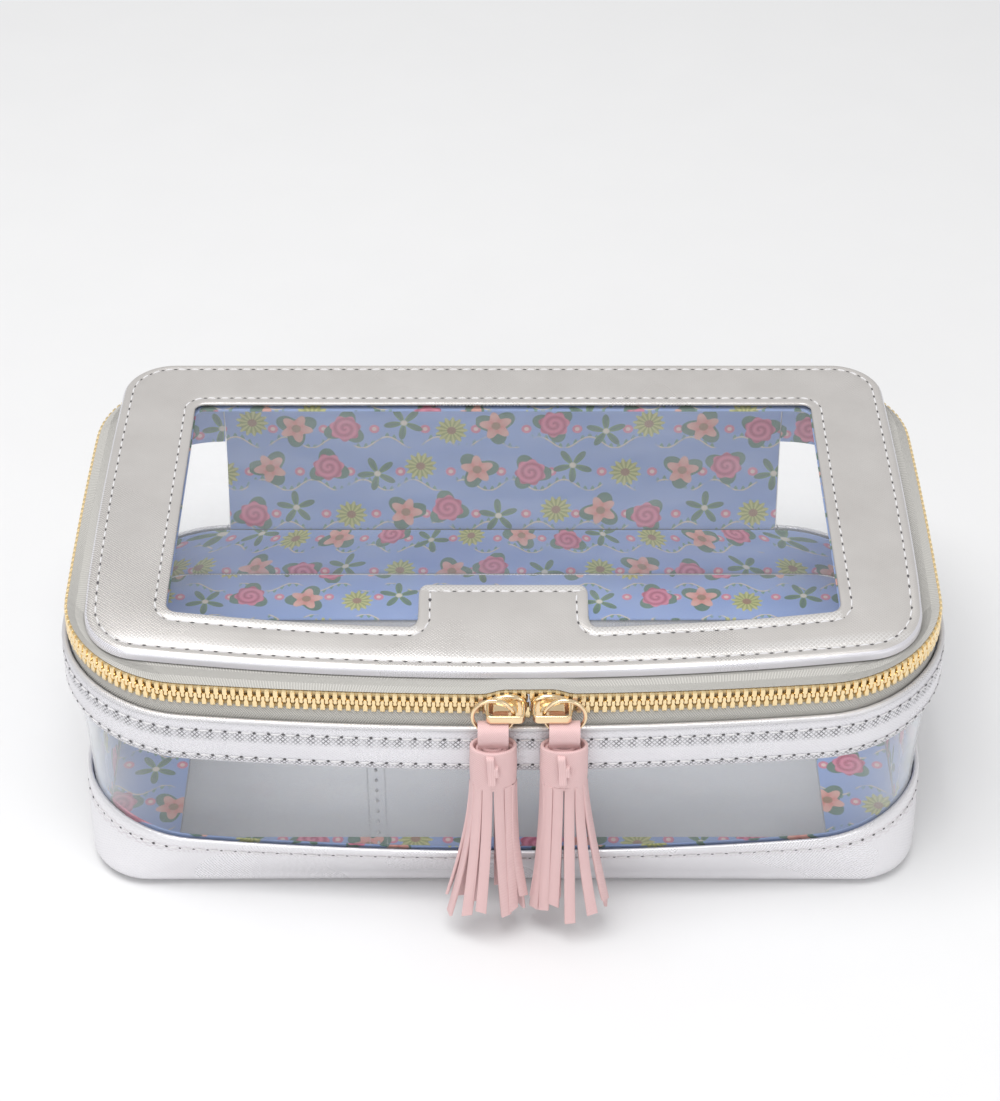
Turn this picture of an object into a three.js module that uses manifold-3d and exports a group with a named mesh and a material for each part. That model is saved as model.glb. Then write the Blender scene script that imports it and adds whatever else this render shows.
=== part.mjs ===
// A clear-sided zip bag for game tiles: a soft case of silver leatherette and clear sheet, with a
// windowed lid, a two-way metal zip and two pulls with leather tassels. Millimetres, +Z up, front at -Y.
import * as THREE from 'three';
import { mergeVertices } from 'three/addons/utils/BufferGeometryUtils.js';
import Module from 'manifold-3d';

const wasm = await Module();
wasm.setup();

// Driving sizes of the case, at the line where the zip closes
const zipHalfWidth = 131;
const zipHalfDepth = 77.5;
const zipCornerRadius = 35;
const zipFrontBow = 9;
const wallSideBow = 1.5;
const zipHeight = 84;

// The case wall at its levels, as steps out from the zip line
const bandStep = 2.5;
const bandFrontBow = 10;
const bandCornerRadius = 38;
const bandTop = 75.2;
const bandCrown = 0.8;
const crownEase = 0.25;
const bandBottom = 60.6;
const lowerBandTop = 23.4;
const lowerBandRadius = 35;
const footStep = -1.5;
const footDepthStep = 1;
const footCornerRadius = 19;
const footFrontBow = -0.7;
const footSideBow = 0.6;
const footRounding = 6;

// Sheet thicknesses and the clearance between sheets that are sewn together
const leather = 1.6;
const clearSheet = 0.6;
const lining = 0.6;
const seat = 0.3;
const hem = 6;

// Lid
const lidStep = -6.3;
const lidCornerRadius = 15.5;
const lidFrontBow = 11;
const lidRise = 5.4;
const lidSide = 7.4;
const lidRim = zipHeight + lidRise;
const lidTop = lidRim + lidSide;
const lidRounding = 2.6;
const windowHalfWidth = 100.6;
const windowBack = 47.6;
const windowFront = -58.3;
const windowCorner = 3;
const windowHem = 7;
const tabHalfWidth = 25.3;
const tabDepth = 11.5;
const tabCorner = 2.4;

// Base
const baseWindowHalfWidth = 99;
const baseWindowHalfDepth = 50;
const baseWindowCorner = 5;

// Zip chain
const toothPitch = 2.5;
const toothWidth = 1.05;
const toothReach = 0.9;
const toothThickness = 2.8;
const railFoot = 2.7;
const railHeight = 0.7;
const chainEndGap = 26;
const tape = 0.8;
const tapeGap = 0.45;
const rolledEdgeRadius = 0.95;
const stopLength = 3.2;

// Zip pulls
const pullsMeetX = 7.4;
const sliderHalfLength = 5.9;
const sliderGap = 0.9;
const sliderPlate = 0.9;
const sliderFrontHalfHeight = 4.7;
const sliderBackHalfHeight = 3.2;
const sliderNose = 0.62;
const sliderEase = 0.5;
const wedgeSlimness = 4;
const wedgePlace = 0.4;
const chainClearance = 0.35;
const partedBy = 1.7;
const partedRamp = 7;
const bailWidth = 1.7;
const bailThickness = 1;
const ringRadius = 6;
const ringWire = 0.6;
const ringStandOff = 7.9;
const ringLift = 1.4;
const ringOutward = 3.6;

// Tassels
const strapWidth = 9;
const strap = 1;
const strapEye = 3;
const eyeRounding = 0.9;
const capHalfWidth = 6.9;
const capHalfDepth = 4.2;
const capHeight = 15;
const capLeather = 1.1;
const fringeLength = 53;
const fringeStrips = 12;
const fringeStripWidth = 2.5;
const fringeSpread = 8;
const inwardShare = 0.3;
const forwardShare = 0.5;
const fringeStagger = 0.05;
const stripThinning = 0.9;
const fallShares = [0, 0.3, 0.65, 1];
const spreadShares = [0, 0.12, 0.5, 1];
const tieRadius = 0.55;
const tieLength = 9;
const tieDrop = 2.5;

// Counts of facets
const arcSteps = 5;
const sideSteps = 3;
const flankSteps = 3;
const backSteps = 2;
const teethPerFoot = 4;
const roundSteps = 3;

// Finishes of the pieces, in their photographed colours
const silver = new THREE.MeshStandardMaterial({ color: 0xd6d2cf, roughness: 0.38, metalness: 0.35 });
const pvc = new THREE.MeshStandardMaterial({
  color: 0xf2f4f8, roughness: 0.08, metalness: 0, transparent: true, opacity: 0.25,
});
const print = new THREE.MeshStandardMaterial({ color: 0x87a0cd, roughness: 0.75, metalness: 0 });
const webbing = new THREE.MeshStandardMaterial({ color: 0xb9b7b0, roughness: 0.85, metalness: 0 });
const brass = new THREE.MeshStandardMaterial({ color: 0xe0b566, roughness: 0.3, metalness: 0.9 });
const paleGold = new THREE.MeshStandardMaterial({ color: 0xebcda0, roughness: 0.2, metalness: 0.95 });
const pinkLeather = new THREE.MeshStandardMaterial({ color: 0xe1b9b9, roughness: 0.6, metalness: 0 });

// Places along the front where the zip parts, passes the pulls and closes again
const sliderCentre = sliderHalfLength + sliderGap;
const pullStations = [
  -sliderCentre - partedRamp, -sliderCentre - partedRamp / 2, -sliderCentre,
  sliderCentre, sliderCentre + partedRamp / 2, sliderCentre + partedRamp,
].map((away) => pullsMeetX + away);

// A bowed rectangle with round corners, as a list of stations that starts at the left end of the
// back and runs round the left side, the front and the right side; the back stretch comes last.
function outline({ halfWidth, halfDepth, radius, frontBow = 0, sideBow = 0 }) {
  const points = [];
  const corner = (cx, cy, from) => {
    for (let i = 0; i <= arcSteps; i++) {
      const a = from + (i / arcSteps) * (Math.PI / 2);
      points.push([cx + radius * Math.cos(a), cy + radius * Math.sin(a)]);
    }
  };
  const straight = (x0, y0, x1, y1, steps) => {
    for (let i = 1; i < steps; i++) {
      points.push([x0 + ((x1 - x0) * i) / steps, y0 + ((y1 - y0) * i) / steps]);
    }
  };
  const cx = halfWidth - radius;
  const cy = halfDepth - radius;
  corner(-cx, cy, Math.PI / 2);
  straight(-halfWidth, cy, -halfWidth, -cy, sideSteps);
  corner(-cx, -cy, Math.PI);
  straight(-cx, -halfDepth, pullStations[0], -halfDepth, flankSteps);
  pullStations.forEach((x) => points.push([x, -halfDepth]));
  straight(pullStations[pullStations.length - 1], -halfDepth, cx, -halfDepth, flankSteps);
  corner(cx, -cy, 1.5 * Math.PI);
  straight(halfWidth, -cy, halfWidth, cy, sideSteps);
  corner(cx, cy, 0);
  straight(cx, halfDepth, -cx, halfDepth, backSteps);
  return points.map(([x, y]) => {
    const front = y < 0 ? frontBow : 0;
    return new THREE.Vector2(
      x * (1 + (sideBow * (1 - (y / halfDepth) ** 2)) / halfWidth),
      y * (1 + (front * (1 - (x / halfWidth) ** 2)) / halfDepth),
    );
  });
}

// Moves every station of an outline outwards along its own normal
function offset(points, distance) {
  const count = points.length;
  return points.map((p, i) => {
    const before = points[(i + count - 1) % count];
    const after = points[(i + 1) % count];
    const into = p.clone().sub(before).normalize();
    const out = after.clone().sub(p).normalize();
    const along = into.add(out).normalize();
    return new THREE.Vector2(p.x + along.y * distance, p.y - along.x * distance);
  });
}

function lift(points, z) {
  return points.map((p) => new THREE.Vector3(p.x, p.y, z));
}

const zipLine = outline({
  halfWidth: zipHalfWidth, halfDepth: zipHalfDepth, radius: zipCornerRadius,
  frontBow: zipFrontBow, sideBow: wallSideBow,
});
const bandLine = outline({
  halfWidth: zipHalfWidth + bandStep, halfDepth: zipHalfDepth + bandStep, radius: bandCornerRadius,
  frontBow: bandFrontBow, sideBow: wallSideBow,
});
const lowerLine = outline({
  halfWidth: zipHalfWidth, halfDepth: zipHalfDepth, radius: lowerBandRadius,
  frontBow: bandFrontBow, sideBow: wallSideBow,
});
const footLine = outline({
  halfWidth: zipHalfWidth + footStep, halfDepth: zipHalfDepth + footDepthStep, radius: footCornerRadius,
  frontBow: footFrontBow, sideBow: footSideBow,
});
const lidLine = outline({
  halfWidth: zipHalfWidth + lidStep, halfDepth: zipHalfDepth + lidStep, radius: lidCornerRadius,
  frontBow: lidFrontBow, sideBow: wallSideBow,
});
const stationCount = zipLine.length;
const openStations = stationCount - backSteps + 1;
const backFirst = openStations - 1;

// The outline of the case wall at any height, blended between its levels, set in by a distance
const wallLevels = [
  { z: footRounding, line: footLine },
  { z: lowerBandTop, line: lowerLine },
  { z: bandBottom, line: bandLine },
];
function wall(z, inset = 0) {
  let line = bandLine;
  if (z <= footRounding) {
    line = footLine;
  } else {
    for (let i = 1; i < wallLevels.length; i++) {
      const low = wallLevels[i - 1];
      const high = wallLevels[i];
      if (z > low.z && z < high.z) {
        const share = (z - low.z) / (high.z - low.z);
        line = low.line.map((p, k) => p.clone().lerp(high.line[k], share));
      } else if (z === high.z) {
        line = high.line;
      }
    }
  }
  return lift(inset ? offset(line, -inset) : line, z);
}

// Turns points and triangles into a geometry whose faces point outwards
function solid(points, triangles) {
  let volume = 0;
  for (const [a, b, c] of triangles) {
    volume += points[a].dot(points[b].clone().cross(points[c]));
  }
  const order = volume < 0 ? ([a, b, c]) => [a, c, b] : (t) => t;
  const geometry = new THREE.BufferGeometry();
  geometry.setAttribute(
    'position',
    new THREE.Float32BufferAttribute(points.flatMap((p) => [p.x, p.y, p.z]), 3),
  );
  geometry.setIndex(triangles.flatMap(order));
  return geometry;
}

// A sheet or band swept along the case: loops of stations side by side give its section.
// A closed path makes a ring, and an open one gets a cap at each end.
function band(loops, closedPath, capPlane = (p) => [p.y, p.z]) {
  const rows = loops.length;
  const count = loops[0].length;
  const points = loops.flat();
  const at = (row, station) => (row % rows) * count + (station % count);
  const triangles = [];
  const last = closedPath ? count : count - 1;
  for (let row = 0; row < rows; row++) {
    for (let i = 0; i < last; i++) {
      const [a, b, c, d] = [at(row, i), at(row, i + 1), at(row + 1, i + 1), at(row + 1, i)];
      triangles.push([a, b, c], [a, c, d]);
    }
  }
  if (!closedPath) {
    for (const end of [0, count - 1]) {
      triangles.push(...endCap(loops, end, at, capPlane));
    }
  }
  return solid(points, triangles);
}

// Turns each triangle of a flat outline the same way round as the outline itself
function turned(section, faces) {
  const sense = Math.sign(THREE.ShapeUtils.area(section));
  return faces.map(([a, b, c]) => {
    const same = Math.sign(THREE.ShapeUtils.area([section[a], section[b], section[c]])) === sense;
    return same ? [a, b, c] : [a, c, b];
  });
}

function endCap(loops, end, at, capPlane) {
  const section = loops.map((loop) => new THREE.Vector2(...capPlane(loop[end])));
  const faces = turned(section, THREE.ShapeUtils.triangulateShape(section, []));
  return faces.map(([a, b, c]) => (end === 0 ? [at(a, end), at(b, end), at(c, end)]
    : [at(a, end), at(c, end), at(b, end)]));
}

const frontOnly = (loop) => loop.slice(0, openStations);
const backOnly = (loop) => [...loop.slice(backFirst), loop[0]];

// Pulls the two ends of an open run of stations back by a distance, so that neighbours keep clear
function trimEnds(loop, distance) {
  const trimmed = loop.map((p) => p.clone());
  const pull = (end, next) => {
    const step = trimmed[next].clone().sub(trimmed[end]).setLength(distance);
    trimmed[end].add(step);
  };
  pull(0, 1);
  pull(trimmed.length - 1, trimmed.length - 2);
  return trimmed;
}

function manifoldOf(geometry) {
  const bare = geometry.clone();
  bare.deleteAttribute('normal');
  bare.deleteAttribute('uv');
  const merged = mergeVertices(bare);
  return new wasm.Manifold(new wasm.Mesh({
    numProp: 3,
    vertProperties: new Float32Array(merged.attributes.position.array),
    triVerts: new Uint32Array(merged.index.array),
  }));
}

function fromManifold(manifold) {
  const mesh = manifold.getMesh();
  const geometry = new THREE.BufferGeometry();
  geometry.setAttribute('position', new THREE.BufferAttribute(new Float32Array(mesh.vertProperties), 3));
  geometry.setIndex(new THREE.BufferAttribute(new Uint32Array(mesh.triVerts), 1));
  return geometry;
}

function fuse(...geometries) {
  return fromManifold(geometries.map(manifoldOf).reduce((a, b) => a.add(b)));
}

function mesh(name, geometry, material) {
  const piece = new THREE.Mesh(geometry, material);
  piece.name = name;
  return piece;
}

// A flat sheet with the outline of one line of stations
function plate(line, z, thickness) {
  const flat = new THREE.ExtrudeGeometry(new THREE.Shape(line), { depth: thickness, bevelEnabled: false });
  return flat.translate(0, 0, z);
}

// A flat frame between two lines of stations
function flatRing(outer, inner, z, thickness) {
  return band([
    lift(outer, z), lift(outer, z + thickness), lift(inner, z + thickness), lift(inner, z),
  ], true);
}

// Lid: the window opening, its tab, and the sheets that lie under the frame
const windowMiddle = (windowBack + windowFront) / 2;
const windowHalfDepth = (windowBack - windowFront) / 2;
function windowLine(margin) {
  const line = outline({
    halfWidth: windowHalfWidth + margin, halfDepth: windowHalfDepth + margin,
    radius: windowCorner + Math.max(margin, 0),
  });
  return line.map((p) => new THREE.Vector2(p.x, p.y + windowMiddle));
}

function tabPlate(z, thickness) {
  const foot = windowFront - windowHem / 2;
  const tip = windowFront + tabDepth;
  const shape = new THREE.Shape();
  shape.moveTo(-tabHalfWidth, foot);
  shape.lineTo(tabHalfWidth, foot);
  shape.lineTo(tabHalfWidth, tip - tabCorner);
  shape.absarc(tabHalfWidth - tabCorner, tip - tabCorner, tabCorner, 0, Math.PI / 2);
  shape.absarc(-tabHalfWidth + tabCorner, tip - tabCorner, tabCorner, Math.PI / 2, Math.PI);
  shape.lineTo(-tabHalfWidth, foot);
  const geometry = new THREE.ExtrudeGeometry(shape, {
    depth: thickness, bevelEnabled: false, curveSegments: roundSteps,
  });
  return geometry.translate(0, 0, z);
}

const lidSheet = lidTop - leather;
const lidWindowZ = lidSheet - seat - clearSheet;
const lidLiningZ = lidWindowZ - seat - lining;

function lidFrame() {
  const section = [lift(windowLine(0), lidSheet), lift(windowLine(0), lidTop)];
  const quarter = Math.PI / 2;
  for (let i = 0; i <= roundSteps; i++) {
    const a = quarter - (i / roundSteps) * quarter;
    const out = lidRounding * (Math.cos(a) - 1);
    section.push(lift(offset(lidLine, out), lidTop - lidRounding * (1 - Math.sin(a))));
  }
  section.push(lift(lidLine, lidRim), lift(offset(lidLine, -leather), lidRim));
  section.push(lift(offset(lidLine, -leather), lidTop - lidRounding));
  section.push(lift(offset(lidLine, -lidRounding), lidSheet));
  return mesh('lid_frame', fuse(band(section, true), tabPlate(lidSheet, leather)), silver);
}

function lidWindow() {
  return mesh('lid_window', plate(windowLine(windowHem), lidWindowZ, clearSheet), pvc);
}

function lidLining() {
  const outer = offset(lidLine, -leather - seat - lining - seat - tape);
  const ring = flatRing(outer, windowLine(0), lidLiningZ, lining);
  return mesh('lid_lining', fuse(ring, tabPlate(lidLiningZ, lining)), print);
}

// The binding that closes the raw edges along the inside of the lid's rim
function lidBinding() {
  const near = -leather - seat - tape - seat;
  const low = lidRim + seat;
  const section = [
    lift(offset(lidLine, near), low), lift(offset(lidLine, near), lidLiningZ - seat),
    lift(offset(lidLine, near - lining), lidLiningZ - seat), lift(offset(lidLine, near - lining), low),
  ];
  return mesh('lid_edge_binding', band(section, true), print);
}

// The leatherette skirt along the back of the lid; it bends where the lid turns
const skirtTrim = 2;
function lidBackSkirt() {
  const tuck = offset(lidLine, -leather - seat);
  const tuckInner = offset(lidLine, -leather - seat - tape);
  const foot = offset(bandLine, 0);
  const footInner = offset(bandLine, -tape);
  const low = zipHeight + seat;
  const section = [
    lift(tuck, lidLiningZ - seat), lift(tuck, lidRim - seat), lift(foot, low),
    lift(footInner, low), lift(tuckInner, lidRim - seat - tape), lift(tuckInner, lidLiningZ - seat),
  ].map(backOnly).map((loop) => trimEnds(loop, skirtTrim));
  return mesh('lid_back_skirt', band(section, false), silver);
}

// Case walls
function upperBand() {
  const rise = (bandTop - bandBottom) * crownEase;
  const section = [
    wall(bandBottom), wall(bandBottom + rise, -bandCrown), wall(bandTop - rise, -bandCrown), wall(bandTop),
    wall(bandTop, leather), wall(bandBottom, leather),
  ].map(frontOnly);
  return mesh('upper_band', band(section, false), silver);
}

function rolledEdge() {
  const section = [];
  const sides = 2 * roundSteps;
  for (let i = 0; i < sides; i++) {
    const a = (i / sides) * 2 * Math.PI;
    const out = rolledEdgeRadius * Math.cos(a) - seat;
    const z = bandTop + seat + rolledEdgeRadius + rolledEdgeRadius * Math.sin(a);
    section.push(lift(offset(bandLine, out), z));
  }
  return mesh('upper_band_rolled_edge', band(section.map(frontOnly), false), silver);
}

const sheetIn = leather + seat;
const liningIn = sheetIn + clearSheet + seat;

function upperLining() {
  const section = [
    wall(bandBottom, liningIn), wall(bandTop, liningIn + tape - clearSheet),
    wall(bandTop, liningIn + tape - clearSheet + lining), wall(bandBottom, liningIn + lining),
  ].map(frontOnly);
  return mesh('upper_lining', band(section, false), print);
}

// The clear strip round the front and sides; its ends lie lapped and sewn behind the bands
function clearWall() {
  const low = lowerBandTop - hem;
  const high = bandBottom + hem;
  const levels = [low, lowerBandTop, bandBottom, high];
  const outer = levels.map((z) => wall(z, sheetIn));
  const inner = levels.map((z) => wall(z, sheetIn + clearSheet)).reverse();
  const section = [...outer, ...inner].map(frontOnly);
  return mesh('clear_wall', band(section, false), pvc);
}

function lowerBand() {
  const section = [wall(lowerBandTop)];
  const arc = (radius, inset, reverse) => {
    const loops = [];
    for (let i = 0; i <= roundSteps; i++) {
      const a = (i / roundSteps) * (Math.PI / 2);
      const out = inset + radius * (1 - Math.cos(a));
      loops.push(lift(offset(footLine, -out), footRounding - radius * Math.sin(a)));
    }
    return reverse ? loops.reverse() : loops;
  };
  section.push(...arc(footRounding, 0, false));
  section.push(...arc(footRounding - leather, leather, true));
  section.push(wall(lowerBandTop - hem, leather), wall(lowerBandTop, leather));
  return mesh('lower_band', band(section, true), silver);
}

const baseTop = leather;
const baseWindowZ = baseTop + seat;
const baseLiningZ = baseWindowZ + clearSheet + seat;
const liningFoot = baseLiningZ + lining + seat;

function lowerLining() {
  const section = [
    wall(lowerBandTop, liningIn), wall(lowerBandTop - hem, liningIn),
    wall(footRounding, liningIn), wall(liningFoot, liningIn),
    wall(liningFoot, liningIn + lining), wall(footRounding, liningIn + lining),
    wall(lowerBandTop, liningIn + lining),
  ];
  return mesh('lower_lining', band(section, true), print);
}

// Base: a leatherette frame, a clear sheet over its opening and a printed frame on top
function baseWindowLine(margin) {
  return outline({
    halfWidth: baseWindowHalfWidth + margin, halfDepth: baseWindowHalfDepth + margin,
    radius: baseWindowCorner + margin,
  });
}

function basePanel() {
  const outer = offset(footLine, -footRounding - seat);
  return mesh('base_panel', flatRing(outer, baseWindowLine(0), 0, baseTop), silver);
}

function baseWindow() {
  return mesh('base_window', plate(baseWindowLine(hem), baseWindowZ, clearSheet), pvc);
}

const footStepIn = footRounding * (1 - Math.sqrt(0.75)) + seat;
function baseLining() {
  const outer = offset(footLine, -liningIn - footStepIn);
  return mesh('base_lining', flatRing(outer, baseWindowLine(0), baseLiningZ, lining), print);
}

// Back: one panel of leatherette up to the line where the lid turns, with its printed lining
function backPanel() {
  const low = lowerBandTop + seat;
  const high = zipHeight - seat;
  const section = [
    wall(low), wall(bandBottom), wall(high), wall(high, leather), wall(bandBottom, leather),
    wall(low, leather),
  ].map(backOnly).map((loop) => trimEnds(loop, seat));
  return mesh('back_panel', band(section, false), silver);
}

function backLining() {
  const low = lowerBandTop + seat;
  const high = zipHeight - seat;
  const near = leather + seat;
  const section = [
    wall(low, near), wall(bandBottom, near), wall(high, near), wall(high, near + lining),
    wall(bandBottom, near + lining), wall(low, near + lining),
  ].map(backOnly).map((loop) => trimEnds(loop, seat));
  return mesh('back_lining', band(section, false), print);
}

// Zip: how far each row stands off the closing line to pass round the pulls
function parting(x, y) {
  if (y > 0) return 0;
  const away = Math.abs(x - pullsMeetX) - sliderCentre;
  if (away <= 0) return partedBy;
  if (away >= partedRamp) return 0;
  return (partedBy * (1 + Math.cos((Math.PI * away) / partedRamp))) / 2;
}

// The zip line as a smooth route that gives a point and its outward normal at any distance along it
function chainRoute() {
  const line = frontOnly(zipLine);
  const lengths = [0];
  for (let i = 1; i < line.length; i++) lengths.push(lengths[i - 1] + line[i].distanceTo(line[i - 1]));
  const total = lengths[lengths.length - 1];
  const curve = new THREE.CatmullRomCurve3(line.map((p) => new THREE.Vector3(p.x, p.y, 0)));
  curve.arcLengthDivisions = stationCount * arcSteps;
  const at = (distance) => {
    const u = THREE.MathUtils.clamp(distance / total, 0, 1);
    const p = curve.getPointAt(u);
    const t = curve.getTangentAt(u);
    return { x: p.x, y: p.y, nx: t.y, ny: -t.x };
  };
  return { total: curve.getLength(), at };
}

function teethGroups(total) {
  return Math.floor((total - 2 * chainEndGap) / (toothPitch * teethPerFoot));
}

// Faces of the flat comb: each tooth is one quad, and the rail is fanned from the nearest foot point
function combFaces(groups) {
  const faces = [];
  const footAt = (group) => 4 * groups * teethPerFoot + 1 + (groups - group);
  const rootAt = (k) => 4 * Math.floor(k / 2) + (k % 2) * 3;
  for (let tooth = 0; tooth < groups * teethPerFoot; tooth++) {
    const a = 4 * tooth;
    faces.push([a, a + 1, a + 2], [a, a + 2, a + 3]);
  }
  for (let group = 0; group < groups; group++) {
    const first = 2 * group * teethPerFoot;
    for (let k = 0; k < 2 * teethPerFoot; k++) {
      const apex = footAt(k < teethPerFoot ? group : group + 1);
      faces.push([rootAt(first + k), rootAt(first + k + 1), apex]);
    }
    faces.push([footAt(group), rootAt(first + teethPerFoot), footAt(group + 1)]);
  }
  return faces;
}

// One row of teeth: a comb bent along the zip line. Its corded rail runs along the tape and the
// teeth stand up from it; the other row stands half a pitch further along, between these.
function teethRow(name, side) {
  const { total, at } = chainRoute();
  const groups = teethGroups(total);
  const start = chainEndGap + (side > 0 ? toothPitch / 2 : 0);
  const root = side * (railFoot - railHeight);
  const tip = -side * toothReach;
  const comb = [];
  const feet = [];
  for (let i = 0; i < groups * teethPerFoot; i++) {
    const s = start + i * toothPitch;
    comb.push([s, root], [s, tip], [s + toothWidth, tip], [s + toothWidth, root]);
    if (i % teethPerFoot === 0) feet.unshift([s, side * railFoot]);
  }
  const end = start + groups * teethPerFoot * toothPitch;
  comb.push([end, root]);
  feet.unshift([end, side * railFoot]);
  const flat = [...comb, ...feet];
  const points = [];
  for (const n of [-toothThickness / 2, toothThickness / 2]) {
    for (const [s, z] of flat) {
      const p = at(s);
      const parted = side * parting(p.x, p.y);
      points.push(new THREE.Vector3(p.x + p.nx * n, p.y + p.ny * n, zipHeight + z + parted));
    }
  }
  const size = flat.length;
  const triangles = [];
  const faces = turned(flat.map(([s, z]) => new THREE.Vector2(s, z)), combFaces(groups));
  for (const [a, b, c] of faces) triangles.push([a, c, b], [a + size, b + size, c + size]);
  for (let i = 0; i < size; i++) {
    const j = (i + 1) % size;
    triangles.push([i, j, j + size], [i, j + size, i + size]);
  }
  return mesh(name, solid(points, triangles), brass);
}

// A tape: its edge lies along the row of teeth, and its far side is sewn in under the leatherette
function zipEdge(side, out, away) {
  const line = offset(zipLine, out);
  return line.map((p, i) => {
    const z = zipHeight + side * (away + parting(zipLine[i].x, zipLine[i].y));
    return new THREE.Vector3(p.x, p.y, z);
  });
}

function lowerTape() {
  const half = tape / 2;
  const edge = railFoot + tapeGap;
  const tuckTop = bandTop - seat;
  const tuckLow = bandBottom + hem + seat;
  const section = [
    zipEdge(-1, half, edge), wall(tuckTop, sheetIn), wall(tuckLow, sheetIn),
    wall(tuckLow, sheetIn + tape - seat / 2), wall(tuckTop, sheetIn + tape - seat / 2),
    zipEdge(-1, -half, edge),
  ].map(frontOnly);
  return mesh('case_zip_tape', band(section, false), webbing);
}

function upperTape() {
  const half = tape / 2;
  const edge = railFoot + tapeGap;
  const high = lidLiningZ - seat;
  const tuck = -leather - seat;
  const inner = tuck - tape + seat / 2;
  const section = [
    zipEdge(1, half, edge + half), lift(offset(lidLine, tuck), lidRim - seat),
    lift(offset(lidLine, tuck), high), lift(offset(lidLine, inner), high),
    lift(offset(lidLine, inner), lidRim - seat - tape), zipEdge(1, -half, edge),
  ].map(frontOnly);
  return mesh('lid_zip_tape', band(section, false), webbing);
}

// The metal stop clamped over both tapes at each end of the chain
function endStop(name, atStart) {
  const { total, at } = chainRoute();
  const chainEnd = chainEndGap + teethGroups(total) * teethPerFoot * toothPitch + toothPitch / 2;
  const away = seat + stopLength / 2;
  const p = at(atStart ? chainEndGap - away : chainEnd + away);
  const height = 2 * (railFoot + tapeGap - seat);
  const piece = mesh(name, new THREE.BoxGeometry(stopLength, toothThickness, height), brass);
  piece.position.set(p.x, p.y, zipHeight);
  piece.rotation.z = Math.atan2(-p.nx, p.ny);
  return piece;
}

// Zip pulls, built about the slider's own middle: +X along the zip, -Y out of the front
function petal(halfLength, halfHeight) {
  const tip = halfHeight * sliderNose;
  const ease = halfLength * sliderEase;
  const shape = new THREE.Shape();
  shape.moveTo(halfLength, 0);
  shape.bezierCurveTo(halfLength, tip, ease, halfHeight, 0, halfHeight);
  shape.bezierCurveTo(-ease, halfHeight, -halfLength, tip, -halfLength, 0);
  shape.bezierCurveTo(-halfLength, -tip, -ease, -halfHeight, 0, -halfHeight);
  shape.bezierCurveTo(ease, -halfHeight, halfLength, -tip, halfLength, 0);
  return shape;
}

function upright(shape, from, depth) {
  const geometry = new THREE.ExtrudeGeometry(shape, {
    depth, bevelEnabled: false, curveSegments: 2 * roundSteps,
  });
  return geometry.rotateX(Math.PI / 2).translate(0, -from, 0);
}

const plateGap = toothThickness / 2 + chainClearance;
const plateFront = plateGap + sliderPlate;

function sliderBody(name, sense) {
  const front = upright(petal(sliderHalfLength, sliderFrontHalfHeight), plateGap, sliderPlate);
  const back = upright(petal(sliderHalfLength, sliderBackHalfHeight), -plateFront, sliderPlate);
  const postHalf = partedBy - toothReach - chainClearance;
  const post = new THREE.Shape();
  post.moveTo(-postHalf * wedgeSlimness, 0);
  post.lineTo(0, postHalf);
  post.lineTo(postHalf * wedgeSlimness, 0);
  post.lineTo(0, -postHalf);
  post.closePath();
  const wedge = upright(post, -plateFront, plateGap + plateFront);
  wedge.translate(sense * sliderHalfLength * wedgePlace, 0, 0);
  const body = fuse(front, back, wedge);
  return mesh(name, body, paleGold);
}

const bailHalf = sliderHalfLength - bailWidth / 2;
const bailUnder = ringStandOff + ringWire + seat;

function sliderBail(name) {
  const height = bailUnder + bailThickness - plateFront - seat;
  const arch = new THREE.Shape();
  const half = bailHalf;
  arch.moveTo(-half, 0);
  arch.lineTo(-half, height - bailWidth / 2);
  arch.lineTo(-half + bailWidth / 2, height);
  arch.lineTo(half - bailWidth / 2, height);
  arch.lineTo(half, height - bailWidth / 2);
  arch.lineTo(half, 0);
  arch.lineTo(half - bailThickness, 0);
  arch.lineTo(half - bailThickness, height - bailThickness);
  arch.lineTo(-half + bailThickness, height - bailThickness);
  arch.lineTo(-half + bailThickness, 0);
  arch.closePath();
  const geometry = new THREE.ExtrudeGeometry(arch, { depth: bailWidth, bevelEnabled: false });
  geometry.translate(0, 0, -bailWidth / 2);
  geometry.rotateX(Math.PI);
  geometry.translate(0, -plateFront - seat, ringLift);
  return mesh(name, geometry, paleGold);
}

function pullRing(name) {
  const geometry = new THREE.TorusGeometry(ringRadius, ringWire, 2 * roundSteps, 8 * roundSteps);
  return mesh(name, geometry.rotateX(Math.PI / 2), paleGold);
}

// The cap hangs a little in front of the ring and below it
const capMiddle = -strap;
const capDrop = strapEye + ringWire + seat;

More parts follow.
